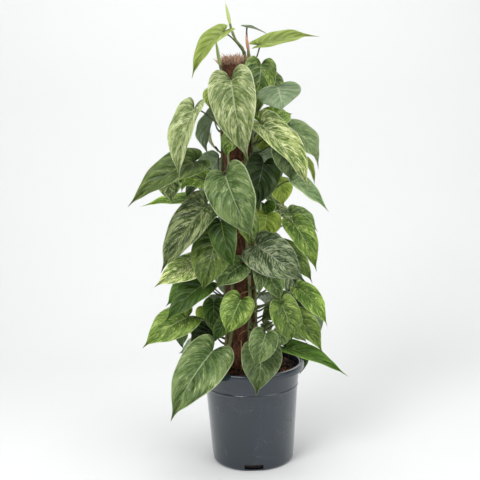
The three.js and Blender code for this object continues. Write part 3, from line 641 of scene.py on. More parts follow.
leafTable = {name: leafRow(*row) for name, row in {
    "leaf_01": (4, 453, (-21, 14, 479), (-53, 48, 419), (-25, 40), 38, 22, 9, "bright", 0.9),
    "leaf_02": (3, 440, (142, 0, 493), (122, 32, 482), (10, 70), 20, 20, 2, "pale", 0.7),
    "leaf_03": (2, 440, (98, 11, 466), (100, 96, 479), (5, 52), 34, 18, 4, "bright", 0.85),
    "leaf_04": (2, 410, (58, 17, 436), (37, 18, 366), (5, 15), 46, 15, 8, "mid", 0.9),
    "leaf_05": (2, 376, (40, 62, 402), (47, 62, 372), (172, 22), 60, 4, 3, "pale", 1.6),
    "leaf_06": (0, 387, (-6, 29, 413), (11, 44, 307), (-14, 12), 78, 33, 12, "lime", 0.95),
    "leaf_07": (0, 351, (-52, 47, 377), (-48, 84, 285), (-26, 15), 54, 34, 9, "lime", 1.05),
    "leaf_08": (0, 279, (-57, 45, 305), (-69, 135, 248), (-14, 40), 60, 28, 10, "mid", 0.6),
    "leaf_09": (1, 254, (-83, 15, 280), (-75, 58, 269), (-15, 40), 40, 20, 4, "mid", 1.9),
    "leaf_10": (1, 226, (-88, 30, 252), (-84, 113, 243), (-8, 50), 26, 25, 3, "mid", 1.9),
    "leaf_11": (0, 217, (-50, 34, 243), (-61, 97, 155), (-22, 25), 66, 25, 8, "olive", 0.6),
    "leaf_12": (0, 260, (-15, 39, 286), (14, 53, 200), (-22, 18), 74, 28, 10, "marbled", 1.25),
    "leaf_13": (4, 275, (45, 26, 301), (21, 22, 237), (10, 15), 54, 18, 6, "dark", 0.5),
    "leaf_14": (2, 327, (39, 29, 353), (58, 92, 267), (14, 42), 62, 33, 8, "cream", 1.35),
    "leaf_15": (3, 331, (78, 15, 357), (108, 61, 369), (5, 40), 48, 15, 4, "mid", 1.9),
    "leaf_16": (3, 323, (101, 53, 349), (102, 98, 290), (80, -30), 50, 20, 9, "pale", 0.95),
    "leaf_17": (2, 276, (90, 72, 302), (90, 84, 268), (40, 40), 18, 30, 3, "fresh", 1.05),
    "leaf_18": (2, 249, (75, 54, 275), (77, 105, 232), (15, 50), 34, 28, 2, "blue", 1.8),
    "leaf_19": (3, 246, (102, 34, 272), (99, 40, 236), (20, 15), 40, 20, 4, "fresh", 1.9),
    "leaf_20": (3, 312, (131, 26, 338), (135, 29, 312), (0, 10), 26, 20, 3, "fresh", 1.9),
    "leaf_21": (2, 202, (88, 49, 228), (83, 87, 201), (10, 48), 34, 30, 5, "marbled", 1.9),
    "leaf_22": (2, 190, (70, 56, 216), (67, 91, 150), (12, 25), 44, 24, 9, "mid", 1.2),
    "leaf_23": (4, 201, (68, 17, 227), (58, 13, 189), (5, 10), 52, 15, 6, "fresh", 1.75),
    "leaf_24": (3, 215, (102, 13, 241), (93, 16, 218), (0, 30), 32, 20, 4, "dark", 1.9),
    "leaf_25": (4, 161, (25, 35, 187), (50, 88, 138), (4, 18), 64, 14, 10, "white", 0.65),
    "leaf_26": (4, 122, (43, 32, 148), (47, 48, 108), (10, 10), 36, 20, 5, "marbled", 1.9),
    "leaf_27": (0, 174, (-32, 34, 200), (-40, 51, 125), (-8, 15), 60, 12, 8, "mid", 0.65),
    "leaf_28": (1, 135, (-69, 36, 161), (-69, 103, 133), (-14, 28), 48, 18, 7, "cream", 1.75),
    "leaf_29": (1, 106, (-88, 39, 132), (-80, 83, 98), (-14, 30), 40, 18, 6, "dark", 1.9),
    "leaf_30": (0, 107, (-56, 35, 133), (-64, 95, 85), (-16, 32), 46, 22, 7, "dark"),
    "leaf_31": (0, 58, (-71, 54, 84), (-72, 123, 48), (-16, 25), 52, 16, 7, "mid", 1.2),
    "leaf_32": (0, 87, (0, 29, 113), (-21, 39, 65), (-4, 10), 46, 12, 5, "mid", 1.25),
    "leaf_33": (1, 74, (-76, 15, 100), (-70, 16, 52), (-4, 10), 32, 15, 5, "dark", 1.4),
    "leaf_34": (1, 57, (-113, 32, 83), (-110, 38, 59), (-10, 10), 30, 20, 3, "fresh", 1.9),
    "leaf_35": (1, 32, (-94, 20, 58), (-87, 51, 34), (-10, 25), 40, 20, 5, "dark", 0.5),
    "leaf_36": (1, 10, (-102, 45, 33), (-103, 71, 16), (170, -20), 24, 15, 3, "marbled"),
    "leaf_37": (0, 12, (-48, -4, 39), (-53, 66, -46), (-16, 22), 74, 22, 12, "marbled", 1.3, True),
    "leaf_38": (4, 62, (20, 69, 72), (10, 76, 29), (4, 12), 40, 14, 5, "marbled", 1.2),
    "leaf_39": (4, 15, (16, -24, 42), (5, 12, -14), (2, 22), 60, 16, 9, "marbled", 0.9, True),
    "leaf_40": (2, 33, (61, 41, 59), (47, 39, 39), (5, 15), 28, 20, 3, "marbled", 1.65),
    "leaf_41": (2, 55, (72, 56, 81), (70, 98, 32), (12, 35), 44, 28, 6, "mid", 1.05),
    "leaf_42": (3, 50, (92, 71, 76), (95, 92, 42), (160, 10), 38, 20, 5, "marbled", 1.9),
    "leaf_43": (2, 93, (87, 60, 117), (83, 102, 65), (20, 40), 38, 26, 6, "mid", 1.9),
    "leaf_44": (3, 65, (106, 72, 91), (103, 74, 59), (10, 30), 40, 20, 5, "dark", 0.5),
    "leaf_45": (2, 11, (64, 44, 37), (71, 132, 1), (12, 52), 32, 28, 5, "dark", 1.9),
    "leaf_46": (4, 69, (66, 33, 88), (41, 18, 77), (10, 50), 30, 20, 4, "dark", 0.5),
    "leaf_47": (3, 32, (94, 45, 58), (90, 68, 34), (60, -20), 36, 20, 4, "marbled", 1.9),
    "leaf_48": (2, 86, (68, 34, 112), (65, 47, 87), (10, 20), 28, 25, 4, "marbled", 1.15),
    "leaf_49": (3, 10, (116, 11, 16), (128, 21, -34), (0, 10), 22, 20, 3, "dark", 1, True),
    "leaf_50": (0, 133, (3, 10, 159), (-37, 35, 130), (-10, 30), 40, 16, 3, "marbled", 1.9),
}.items()}

# leaves at the back and small ones deep in the crown, which the frame joins to their stems
innerTable = [leafRow(*row) for row in [
    (3, 416, (158, 27, 428), (163, 55, 356), (160, 22), 58, 20, 9, "mid"),
    (1, 368, (-168, 27, 392), (-176, 61, 322), (-172, 28), 60, 24, 9, "olive"),
    (3, 334, (150, 29, 350), (146, 69, 286), (148, 24), 56, 18, 8, "marbled"),
    (1, 288, (-150, 29, 306), (-146, 71, 236), (-150, 22), 60, 22, 10, "mid"),
    (3, 268, (176, 31, 286), (178, 65, 214), (176, 24), 62, 16, 8, "white"),
    (3, 214, (156, 31, 232), (158, 67, 166), (156, 28), 54, 26, 9, "olive"),
    (1, 196, (-144, 33, 214), (-148, 73, 150), (-142, 26), 58, 20, 9, "mid"),
    (3, 156, (172, 33, 172), (170, 73, 104), (172, 22), 60, 18, 9, "dark"),
    (1, 118, (-170, 35, 134), (-172, 79, 70), (-168, 30), 54, 24, 9, "cream"),
    (3, 84, (148, 37, 98), (146, 83, 42), (148, 26), 54, 20, 9, "marbled"),
    (1, 48, (-140, 41, 62), (-140, 87, 4), (-140, 30), 54, 22, 9, "dark"),
    (3, 22, (176, 47, 34), (178, 93, -22), (178, 26), 54, 18, 9, "mid"),
    (2, 396, (118, 15, 418), (124, 35, 358), (114, 22), 44, 24, 7, "bright"),
    (3, 296, (132, 23, 312), (132, 55, 256), (128, 22), 50, 20, 8, "mid"),
    (3, 180, (124, 21, 198), (124, 49, 144), (120, 24), 46, 24, 8, "dark"),
    (3, 112, (126, 21, 126), (126, 43, 76), (122, 26), 38, 22, 7, "mid"),
    (1, 346, (-120, 13, 372), (-126, 29, 312), (-118, 22), 44, 24, 7, "marbled"),
    (1, 238, (-122, 21, 258), (-126, 45, 204), (-120, 24), 46, 22, 8, "olive"),
    (1, 152, (-124, 21, 170), (-126, 43, 118), (-122, 22), 42, 24, 7, "mid"),
    (1, 84, (-138, 23, 98), (-138, 51, 46), (-136, 26), 40, 20, 7, "dark"),
    (2, 163, (75, 37, 180), (77, 79, 128), (36, 12), 36, 17, 9, "mid"),
    (0, 269, (-68, 75, 288), (-68, 73, 249), (-22, 14), 40, 18, 6, "olive"),
    (2, 314, (58, 56, 331), (63, 55, 273), (13, 35), 52, 13, 8, "marbled"),
    (4, 92, (37, 68, 109), (54, 63, 51), (5, 24), 43, 22, 9, "mid"),
    (2, 111, (121, 58, 136), (118, 72, 73), (34, 19), 42, 12, 8, "white"),
    (3, 232, (147, 54, 253), (134, 73, 211), (53, 8), 33, 23, 4, "olive"),
    (0, 326, (-4, 10, 342), (-23, 12, 309), (-13, 31), 28, 20, 8, "mid"),
    (0, 62, (-34, 14, 78), (-56, 22, 47), (-6, 27), 24, 18, 4, "dark"),
    (2, 32, (139, 26, 55), (142, 41, 32), (63, 21), 22, 23, 6, "cream"),
    (0, 255, (-95, 28, 273), (-78, 49, 250), (-33, 41), 30, 24, 5, "marbled"),
    (0, 203, (-24, 34, 222), (-6, 49, 158), (-16, 7), 44, 26, 6, "dark"),
    (1, 266, (-119, 51, 282), (-108, 62, 258), (-35, 41), 21, 13, 7, "mid"),
    (0, 392, (-55, 10, 406), (-54, 19, 374), (-31, 33), 29, 14, 6, "bright"),
    (4, 221, (7, 11, 236), (22, 19, 184), (17, 37), 41, 18, 6, "mid"),
    (1, 40, (-114, 74, 57), (-118, 77, 16), (-44, 19), 38, 18, 5, "dark"),
    (2, 404, (90, 18, 421), (106, 52, 385), (42, 38), 42, 15, 8, "mid"),
    (4, 143, (25, 38, 161), (16, 67, 124), (16, 29), 23, 15, 5, "marbled"),
    (3, 210, (126, 49, 228), (124, 72, 188), (53, 33), 34, 22, 5, "olive"),
]]

# dry papery sheaths that new leaves have left on their stems
sheathTable = [leafRow(*row) for row in [
    (1, 316, (-96, 5, 322), (-74, 12, 347), (-60, 5), 15, 30, 3, "sheath"),
    (0, 232, (-44, 4, 238), (-60, 9, 262), (-40, 10), 9, 40, 2, "sheath"),
    (2, 214, (62, 3, 222), (76, 8, 246), (50, 10), 9, 40, 2, "sheath"),
    (3, 268, (140, 4, 236), (128, 10, 262), (140, 10), 10, 36, 2, "sheath"),
]]

stemDepth = (2 * plant["stemRadius"] + plant["gap"]) / mm

# half a leaf's outline from the notch at the stalk round to the tip: along and across on the
# margin, then the place on the midrib that the side vein to that point starts from
leafOutline = np.array([
    (0, 0, 0), (-0.12, 0.2, 0), (-0.16, 0.55, 0), (-0.04, 0.9, 0.03), (0.21, 1, 0.15),
    (0.49, 0.86, 0.36), (0.73, 0.46, 0.6), (0.89, 0.11, 0.8), (1.02, 0, 1),
])


def polar(x, turn, reach, height):
    angle = math.radians(turn)
    level = plant["soil"] + height * mm
    return Vector((x + reach * math.sin(angle), -reach * math.cos(angle), level))


def onPole(place):
    # out is measured from the coir
    return polar(plant["poleX"], place[0], plant["poleRadius"] + place[1] * mm, place[2])


def around(place):
    # out is measured from the outer side of the stems
    return onPole((place[0], place[1] + stemDepth, place[2]))


def climbing(place):
    rest = plant["poleRadius"] + plant["stemRadius"] + plant["gap"]
    return polar(plant["poleX"], place[0], rest + place[1] * mm, place[2])


def overLip(place):
    return polar(0, place[0], plant["lipRadius"] + place[1] * mm, place[2])


def heading(way):
    turn, rise = map(math.radians, way)
    return Vector((math.sin(turn) * math.cos(rise), -math.cos(turn) * math.cos(rise),
                   math.sin(rise)))


# a smooth curve through points, evenly shared out between them
class Climb:
    def __init__(self, points):
        self.points = points

    def at(self, share):
        points = self.points
        place = share * (len(points) - 1)
        i = min(int(place), len(points) - 2)
        p1, p2 = points[i], points[i + 1]
        p0 = points[i - 1] if i else p1 * 2 - p2
        p3 = points[i + 2] if i + 2 < len(points) else p2 * 2 - p1
        step0 = (p1 - p0).length ** 0.5
        step1 = (p2 - p1).length ** 0.5
        step2 = (p3 - p2).length ** 0.5
        out1 = ((p1 - p0) / step0 - (p2 - p0) / (step0 + step1) + (p2 - p1) / step1) * step1
        out2 = ((p2 - p1) / step1 - (p3 - p1) / (step1 + step2) + (p3 - p2) / step2) * step1
        t = place - i
        return (p1 * (2 * t ** 3 - 3 * t ** 2 + 1) + out1 * (t ** 3 - 2 * t ** 2 + t)
                + p2 * (3 * t ** 2 - 2 * t ** 3) + out2 * (t ** 3 - t ** 2))

    def nodeAt(self, height):
        low, high = 0.0, 1.0
        for _ in range(24):
            middle = (low + high) / 2
            if self.at(middle).z < plant["soil"] + height * mm:
                low = middle
            else:
                high = middle
        ahead = self.at(min(low + 0.002, 1)) - self.at(max(low - 0.002, 0))
        return self.at(low), ahead.normalized(), low


def stemClimb(stem):
    points = [climbing(place) for place in stem["route"]]
    if stem.get("bud"):
        points.append(points[-1].lerp(climbing(stem["bud"]), 0.15))
    return Climb(points)


def bladeFrame(row):
    place = overLip if row["overLip"] else around
    base = place(row["base"])
    along = place(row["tip"]) - base
    length = along.length
    along.normalize()
    normal = heading(row["face"])
    normal = (normal - along * normal.dot(along)).normalized()
    return base, along, normal, normal.cross(along), length


def midribAt(row, lay, share):
    base, along, normal, across, length = lay
    return base + along * share * length + normal * 4 * row["bow"] * mm * share * (1 - share)


leafShape = dict(acrossSteps=28, rowSteps=60, thickness=0.5, rib=0.9, pucker=1.1, wave=3.0,
                 ruffle=1.2, curl=5.0, droop=0.2, oneSided=8, lopsided=0.07)


def smoothRows(rows):
    # the outline between its points, as smooth curves through them
    i = np.clip(rows.astype(int), 0, len(leafOutline) - 2)
    t = (rows - i)[:, None]
    padded = np.vstack([2 * leafOutline[0] - leafOutline[1], leafOutline,
                        2 * leafOutline[-1] - leafOutline[-2]])
    p0, p1, p2, p3 = (padded[i + k] for k in range(4))
    found = p1 + 0.5 * t * (p2 - p0 + t * (2 * p0 - 5 * p1 + 4 * p2 - p3
                                           + t * (3 * (p1 - p2) + p3 - p0)))
    found[:, 1] = np.maximum(found[:, 1], 0)
    return found[:, 0], found[:, 1], found[:, 2]


def modelLeafSheet():
    # a flat two-sided sheet whose rows and columns become the leaf's; the ends close to points
    bpy.ops.mesh.primitive_grid_add(
        x_subdivisions=leafShape["acrossSteps"], y_subdivisions=leafShape["rowSteps"], size=2)
    sheet = bpy.context.object
    thick = sheet.modifiers.new("thick", "SOLIDIFY")
    thick.thickness = 0.2
    thick.offset = 0
    applyAll(sheet)
    mesh = sheet.data
    places = np.empty(len(mesh.vertices) * 3)
    mesh.vertices.foreach_get("co", places)
    places = places.reshape(-1, 3)
    column = places[:, 0]
    share = np.sign(column) * (0.7 * np.abs(column) + 0.3 * np.abs(column) ** 3)
    rows = (places[:, 1] + 1) / 2 * 8
    layer = np.sign(places[:, 2])
    for name, values in (("share", share), ("rows", rows), ("layer", layer)):
        mesh.attributes.new(name, "FLOAT", "POINT").data.foreach_set("value", values)
    corners = np.empty(len(mesh.loops), int)
    mesh.loops.foreach_get("vertex_index", corners)
    unwrapped = mesh.uv_layers.new(name="leafMap") if not mesh.uv_layers else mesh.uv_layers[0]
    unwrapped.name = "leafMap"
    flat = np.column_stack([share[corners] / 2 + 0.5, rows[corners] / 8])
    unwrapped.data.foreach_set("uv", flat.ravel())
    outer, edge, inner = smoothRows(rows)
    wide = np.abs(share)
    flatPlaces = np.column_stack([share * edge, inner + (outer - inner) * wide, layer * 0.01])
    mesh.vertices.foreach_set("co", flatPlaces.ravel())
    mesh.update()
    bpy.ops.object.mode_set(mode="EDIT")
    bpy.ops.mesh.select_all(action="SELECT")
    bpy.ops.mesh.remove_doubles(threshold=0.0001)
    bpy.ops.mesh.normals_make_consistent(inside=False)
    bpy.ops.object.mode_set(mode="OBJECT")
    bpy.ops.object.shade_smooth()
    for face in mesh.polygons:
        face.material_index = 0 if face.normal.z > -0.5 else 1
    return sheet


leafSheet = modelLeafSheet()


def readColumn(mesh, name):
    values = np.empty(len(mesh.vertices))
    mesh.attributes[name].data.foreach_get("value", values)
    return values


def bladeMesh(row, seed):
    mesh = leafSheet.data.copy()
    dice = random.Random(seed)
    share, rows, layer = (readColumn(mesh, name) for name in ("share", "rows", "layer"))
    side = np.sign(share)
    wide = np.abs(share)
    outer, edge, inner = smoothRows(rows)
    place = inner + (outer - inner) * wide
    half = row["width"] * mm / 2
    folds = [row["fold"] + dice.uniform(-1, 1) * leafShape["oneSided"] for _ in range(2)]
    fold = np.radians(np.where(side > 0, folds[0], folds[1]))
    spread = edge * wide * (1 + side * dice.uniform(-1, 1) * leafShape["lopsided"])
    size = row["width"] / 60 * mm

    # rounded cross-section, then the unevenness that each real leaf has
    lift = half * spread * np.sin(fold) - leafShape["droop"] * half * spread ** 2
    run = rows * leafVeins["perRow"] - (wide + wide ** 2) * leafVeins["sweep"] / 2
    body = 4 * wide * (1 - wide) * np.clip(rows, 0, 1) * np.clip(8 - rows, 0, 1)
    lift += leafShape["pucker"] * size * body * -np.cos(2 * math.pi * run)
    turns = [dice.uniform(0, 6) for _ in range(4)]
    free = wide ** 2 * np.clip(edge * 1.5, 0, 1)
    ripple = np.where(side > 0, np.sin(1.5 * rows + turns[0]), np.sin(1.3 * rows + turns[1]))
    lift += leafShape["wave"] * size * free * ripple
    ruffle = np.where(side > 0, np.sin(4.1 * rows + turns[2]), np.sin(3.7 * rows + turns[3]))
    lift += leafShape["ruffle"] * size * free * wide ** 2 * ruffle
    slide = leafShape["curl"] * size * dice.uniform(-1, 1) * place ** 3
    lift -= leafShape["curl"] * size * dice.uniform(0.0, 1.2) * np.clip(place, 0, 1) ** 4
    rib = np.exp(-(share / 0.045) ** 2) * (1.1 - place)
    thick = layer * leafShape["thickness"] * mm / 2 * (1 - 0.5 * wide ** 6)
    thick += np.where(layer < 0, -leafShape["rib"] * mm * rib, -0.25 * mm * rib)

    base, along, normal, across, length = bladeFrame(row)
    lean = np.where(spread > 0, np.sin(fold), 0)
    out = side * (half * spread * np.cos(fold) - thick * lean) + slide
    rise = 4 * row["bow"] * mm * place * (1 - place) + lift + thick * np.cos(fold)
    found = (np.array(base) + np.outer(place * length, along) + np.outer(out, across)
             + np.outer(rise, normal))
    mesh.vertices.foreach_set("co", found.ravel())
    # a seed for the leaf's own pattern, and the scale of its colour for its tone and painted light
    # and shade
    for name, value in (("leafSeed", dice.random()), ("leafToneAndLight", row["light"])):
        mesh.attributes.new(name, "FLOAT", "POINT").data.foreach_set(
            "value", np.full(len(mesh.vertices), value))
    mesh.update()
    return mesh


def stalkPath(row, climb, steps=18):
    point, ahead, _ = climb.nodeAt(row["node"])
    lay = bladeFrame(row)
    base = lay[0]
    reach = base - point
    span = reach.length
    square = point - Vector((plant["poleX"], 0, point.z))
    square = square.normalized() * 0.8 + Vector((reach.x, reach.y, 0)) / span
    square = (square - ahead * square.dot(ahead)).normalized()
    foot = point + square * plant["stemRadius"] * 0.5
    first = foot + square * 0.35 * span
    second = (base + Vector((0, 0, 0.3 * span))).lerp(foot, 0.25)
    end = midribAt(row, lay, 3.5 * mm / lay[4]) - lay[2] * 0.9 * mm
    path = []
    for step in range(steps + 1):
        t = step / steps
        path.append(foot * (1 - t) ** 3 + first * 3 * t * (1 - t) ** 2
                    + second * 3 * t * t * (1 - t) + end * t ** 3)
    return path


def makeLeaf(name, row, climb, seed, *nodes):
    mesh = bladeMesh(row, seed)
    shape = bmesh.new()
    shape.from_mesh(mesh)
    path = stalkPath(row, climb)
    thick = plant["stalkRadius"]
    radii = []
    for step in range(len(path)):
        t = step / (len(path) - 1)
        radii.append(thick * (0.8 + 0.75 * (1 - t) ** 6 + 0.2 * t ** 8 - 0.45 * (t == 1)))
    sweepTube(shape, path, radii, 10, finish=2)
    shape.to_mesh(mesh)
    shape.free()
    piece = bpy.data.objects.new(name, mesh)
    bpy.context.collection.objects.link(piece)
    materials = [leafSkins[row["look"]], leafSkins["under"], leafSkins["stalk"]]
    return finishPiece(piece, name, "leaf", materials, *nodes)


leafSkins = {look: upperSkin(look) for look in leafLooks}
leafSkins["under"] = underSkin()
leafSkins["stalk"] = stalkSkin()
climbs = [stemClimb(stem) for stem in stemTable]

worst = 0
for number, (node, row) in enumerate(leafTable.items()):
    leaf = makeLeaf(node + "_skin", row, climbs[row["stem"]], number, node)
    low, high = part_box(node)
    corners = [leaf.data.vertices[i].co for i in range(0, len(leaf.data.vertices), 3)]
    for axis in range(3):
        worst = max(worst, low[axis] - min(c[axis] for c in corners),
                    max(c[axis] for c in corners) - high[axis])
print("leaves stand at most %.1f mm outside their frame boxes" % (worst / mm))
for number, row in enumerate(innerTable):
    name = "leaf_back_%02d" % (number + 1)
    makeLeaf(name, row, climbs[row["stem"]], 100 + number, stemTable[row["stem"]]["name"])
for number, row in enumerate(sheathTable):
    makeLeaf("sheath_%02d" % (number + 1), row, climbs[row["stem"]], 200 + number)
bpy.data.objects.remove(leafSheet)
print("leaves ready")


stemShape = dict(steps=150, sides=12, swelling=0.9, unevenness=0.25)
rootShape = dict(perStem=13, lowest=12, spread=395, hanging=9, thick=0.75, hangingThick=0.7,
                 length=26, steps=9, sides=6)


def makeStem(index, stem, climb):
    shape = bmesh.new()
    nodes = [row["node"] for row in list(leafTable.values()) + innerTable if row["stem"] == index]
    shares = [climb.nodeAt(node)[2] for node in nodes]
    dice = random.Random(300 + index)
    path, radii = [], []
    for step in range(stemShape["steps"] + 1):
        share = step / stemShape["steps"]
        swell = max(math.exp(-((share - place) / 0.006) ** 2) for place in shares)
        radius = plant["stemRadius"] / mm * (1 - 0.3 * share)
        radius += stemShape["swelling"] * swell + dice.uniform(-1, 1) * stemShape["unevenness"]
        path.append(climb.at(share))
        radii.append(radius * mm)
    sweepTube(shape, path, radii, stemShape["sides"])
    piece = fromBmesh(shape, stem["name"])
    smooth = piece.modifiers.new("smooth", "SMOOTH")
    smooth.iterations = 2
    applyAll(piece)
    finishPiece(piece, stem["name"] + "_skin", "green_stem", [skins["stem"]], stem["name"])


def makeBud(stem, climb, material):
    # a leaf still rolled up: a slim spindle, a little bent
    foot = climb.at(0.985)
    top = climbing(stem["bud"])
    bend = Vector((top.y - foot.y, foot.x - top.x, 0)) * 0.05
    path, radii = [], []
    for step in range(25):
        t = step / 24
        path.append(foot.lerp(top, t) + bend * math.sin(math.pi * t))
        radii.append((0.25 + 2.1 * math.sin(math.pi * min(1, t + 0.12) ** 0.8) ** 0.8) * mm)
    shape = bmesh.new()
    sweepTube(shape, path, radii, 12)
    piece = fromBmesh(shape, stem["name"] + "_bud")
    finishPiece(piece, stem["name"] + "_bud", "green_stem", [material], stem["name"])


def makeRoots():
    # thin roots that leave the stems and hold on round the coir
    dice = random.Random(7)
    shape = bmesh.new()
    for index, climb in enumerate(climbs):
        for number in range(rootShape["perStem"]):
            place = (number + dice.random() * 0.8) / rootShape["perStem"]
            height = rootShape["lowest"] + rootShape["spread"] * place
            start, ahead, share = climb.nodeAt(height)
            turn = math.degrees(math.atan2(start.x - plant["poleX"], -start.y))
            sweep = dice.choice((-1, 1)) * dice.uniform(0.5, 1.2) * rootShape["length"]
            drop = dice.uniform(2, 22)
            lift = dice.uniform(0.6, 1.6)
            path, radii = [], []
            for step in range(rootShape["steps"] + 1):
                t = step / rootShape["steps"]
                out = 2.6 * (1 - t) ** 2 + lift * math.sin(math.pi * t) * 1.4 - 0.7 * t
                wobble = math.sin(5 * t + number) * 1.2
                path.append(onPole((turn + sweep * 2.4 * t, out, height - drop * t * t + wobble * t)))
                radii.append(rootShape["thick"] * mm * (1 - 0.6 * t))
            sweepTube(shape, path, radii, rootShape["sides"])
    for _ in range(rootShape["hanging"]):
        # some hang free into the soil
        turn = dice.uniform(-180, 180)
        path = [onPole((turn, 1.5 + 9 * t + dice.uniform(-1, 1), 46 - 50 * t)) for t in
                (0, 0.25, 0.5, 0.75, 1)]
        sweepTube(shape, path, [rootShape["hangingThick"] * mm] * len(path), rootShape["sides"])
    piece = fromBmesh(shape, "aerial_roots")
    finishPiece(piece, "aerial_roots", "green_stem", [rootSkin()])


skins = {"stem": stemSkin()}
budSkins = {"stem_front_right": ("#a5ba62", "#c3d283"), "stem_front_left": ("#93ad5c", "#b5c584"),
            "stem_right": ("#a8785e", "#c69a7c"), "stem_left": ("#9fb26a", "#c8d09a")}
for index, stem in enumerate(stemTable):
    makeStem(index, stem, climbs[index])
    if stem.get("bud"):
        low, high = budSkins[stem["name"]]
        makeBud(stem, climbs[index], budSkin("rolled_" + stem["name"], low, high))
makeRoots()
print("stems ready")


pole = dict(sides=48, rings=72, bore=8.3, crumple=4.6, fur=1.6,
            fibres=3200, fibreLength=(9, 26), fibreThick=0.2,
            fibreSlant=0.55, tuft=1100, tuftLength=(8, 20), tuftThick=0.36, tuftSpread=0.55,
            tuftCurl=0.45)


def strand(shape, points, thick):
    # one coconut fibre: a three-sided thread that runs out to points
    radii = [thick * (0.45 if i in (0, len(points) - 1) else 1) for i in range(len(points))]
    sweepTube(shape, points, radii, 3)


def makeSleeve():
    radius = plant["poleRadius"] - 0.6 * mm
    bottom, top = plant["poleBottom"], plant["poleTop"] - 2 * mm
    profile = [(pole["bore"] * mm, bottom), (radius, bottom)]
    for ring in range(1, pole["rings"]):
        profile.append((radius, bottom + (top - 3 * mm - bottom) * ring / (pole["rings"] - 1)))
    profile += [(radius - 1.5 * mm, top - 1 * mm), (radius - 5 * mm, top), (pole["bore"] * mm, top)]
    piece = lathe(profile, pole["sides"], plant["poleX"], ring=True)
    finer = piece.modifiers.new("finer", "SUBSURF")
    finer.subdivision_type = "SIMPLE"
    finer.levels = 2
    displace(piece, "clumps", 11 * mm, pole["crumple"] * mm, 2)
    displace(piece, "fur", 2.2 * mm, pole["fur"] * mm, 1)
    applyAll(piece)
    bpy.ops.object.shade_smooth()
    finishPiece(piece, "coir_sleeve_skin", "coir", [skins["coir"]], "coir_sleeve")


def makeFibres():
    dice = random.Random(11)
    shape = bmesh.new()
    height = (plant["poleTop"] - plant["soil"]) / mm
    for _ in range(pole["fibres"]):
        turn = dice.uniform(-180, 180)
        up = dice.uniform(-4, height - 3)
        length = dice.uniform(*pole["fibreLength"])
        slope = dice.gauss(0, pole["fibreSlant"])
        rise = length * math.cos(slope)
        swing = math.degrees(length * math.sin(slope) / 20)
        spring = dice.uniform(0.1, 1.6) + (dice.random() < 0.07) * dice.uniform(1, 3.5)
        curve = dice.uniform(-8, 8)
        points = []
        for t in (0, 0.25, 0.5, 0.75, 1):
            out = -0.5 + spring * math.sin(math.pi * t) + (spring > 1.6) * 1.2 * t
            level = min(up + rise * t, height + 1)
            points.append(onPole((turn + swing * t + curve * t * (1 - t), out, level)))
        strand(shape, points, pole["fibreThick"] * mm * dice.uniform(0.7, 1.5))
    piece = fromBmesh(shape, "coir_fibres")
    finishPiece(piece, "coir_fibres", "coir", [skins["fibre"]], "coir_sleeve")


def makeTuft():
    # the frayed top, where the sleeve was cut
    dice = random.Random(12)
    shape = bmesh.new()
    for _ in range(pole["tuft"]):
        turn = dice.uniform(0, 2 * math.pi)
        reach = plant["poleRadius"] * math.sqrt(dice.uniform(0.04, 1.0))
        length = dice.uniform(*pole["tuftLength"]) * mm * (1.1 - 0.5 * reach / plant["poleRadius"])
        start = Vector((plant["poleX"] + reach * math.sin(turn), -reach * math.cos(turn),
                        plant["poleTop"] - 5 * mm))
        lean = Vector((math.sin(turn), -math.cos(turn), 0)) * reach / plant["poleRadius"]
        lean = lean * dice.uniform(0.1, 0.8)
        lean += Vector((dice.uniform(-1, 1), dice.uniform(-1, 1), 0)) * pole["tuftSpread"]
        lean += Vector((0, 0, 1))
        side = Vector((dice.uniform(-1, 1), dice.uniform(-1, 1), dice.uniform(-0.6, 0.2)))
        points = [start + lean * length * t + side * length * pole["tuftCurl"] * t * t
                  for t in (0, 0.25, 0.5, 0.75, 1)]
        strand(shape, points, pole["tuftThick"] * mm * dice.uniform(0.7, 1.4))
    piece = fromBmesh(shape, "coir_tuft")
    finishPiece(piece, "coir_tuft", "coir", [skins["tuft"]], "coir_sleeve")


skins["coir"] = coirSkin("coirMat", "#3a2316", "#7a4c33", "#a8724e", 0.7, 1.4)
skins["fibre"] = coirSkin("coirFibre", "#5a3625", "#9c6545", "#c4946c", 0.5, 0.15)
skins["tuft"] = coirSkin("coirTuft", "#b98c72", "#e2bc9f", "#f4dcc8", 0.25, 0.08)
makeSleeve()
makeFibres()
makeTuft()
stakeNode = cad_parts["pole_stake"]
stakeNode.data.materials.clear()
stakeNode.data.materials.append(stakeSkin())
print("pole ready")


# the pot's driving sizes in millimetres, as the frame has them, but for slots that are cut higher
# and only through the wall, so that they look dark
potShape = dict(lipHeight=9, lipOverhang=5, ringDrop=33, ringTaper=4.5, ringProud=0.9,
                footTaper=8, footRounding=4, wall=1.6, channelInner=32, channelWidth=18,
                channelRise=4, slots=4, slotWidth=27, slotHeight=10, slotDepth=4, sides=144)
soilShape = dict(sides=128, rings=26, mound=3, lumps=4.0, crumbs=2.2, chips=520)


def potSizes():
    top = plant["potHeight"] / mm
    lip = plant["lipRadius"] / mm
    collar = lip - potShape["lipOverhang"]
    ring = collar - potShape["ringTaper"]
    return top, lip, collar, ring, top - potShape["ringDrop"], ring - potShape["footTaper"]


def wallRadius(height):
    top, lip, collar, ring, ringHeight, foot = potSizes()
    if height < ringHeight:
        share = (height - potShape["footRounding"]) / (ringHeight - potShape["footRounding"])
        return foot + (ring - foot) * share
    return ring + (collar - ring) * (height - ringHeight) / (top - ringHeight)


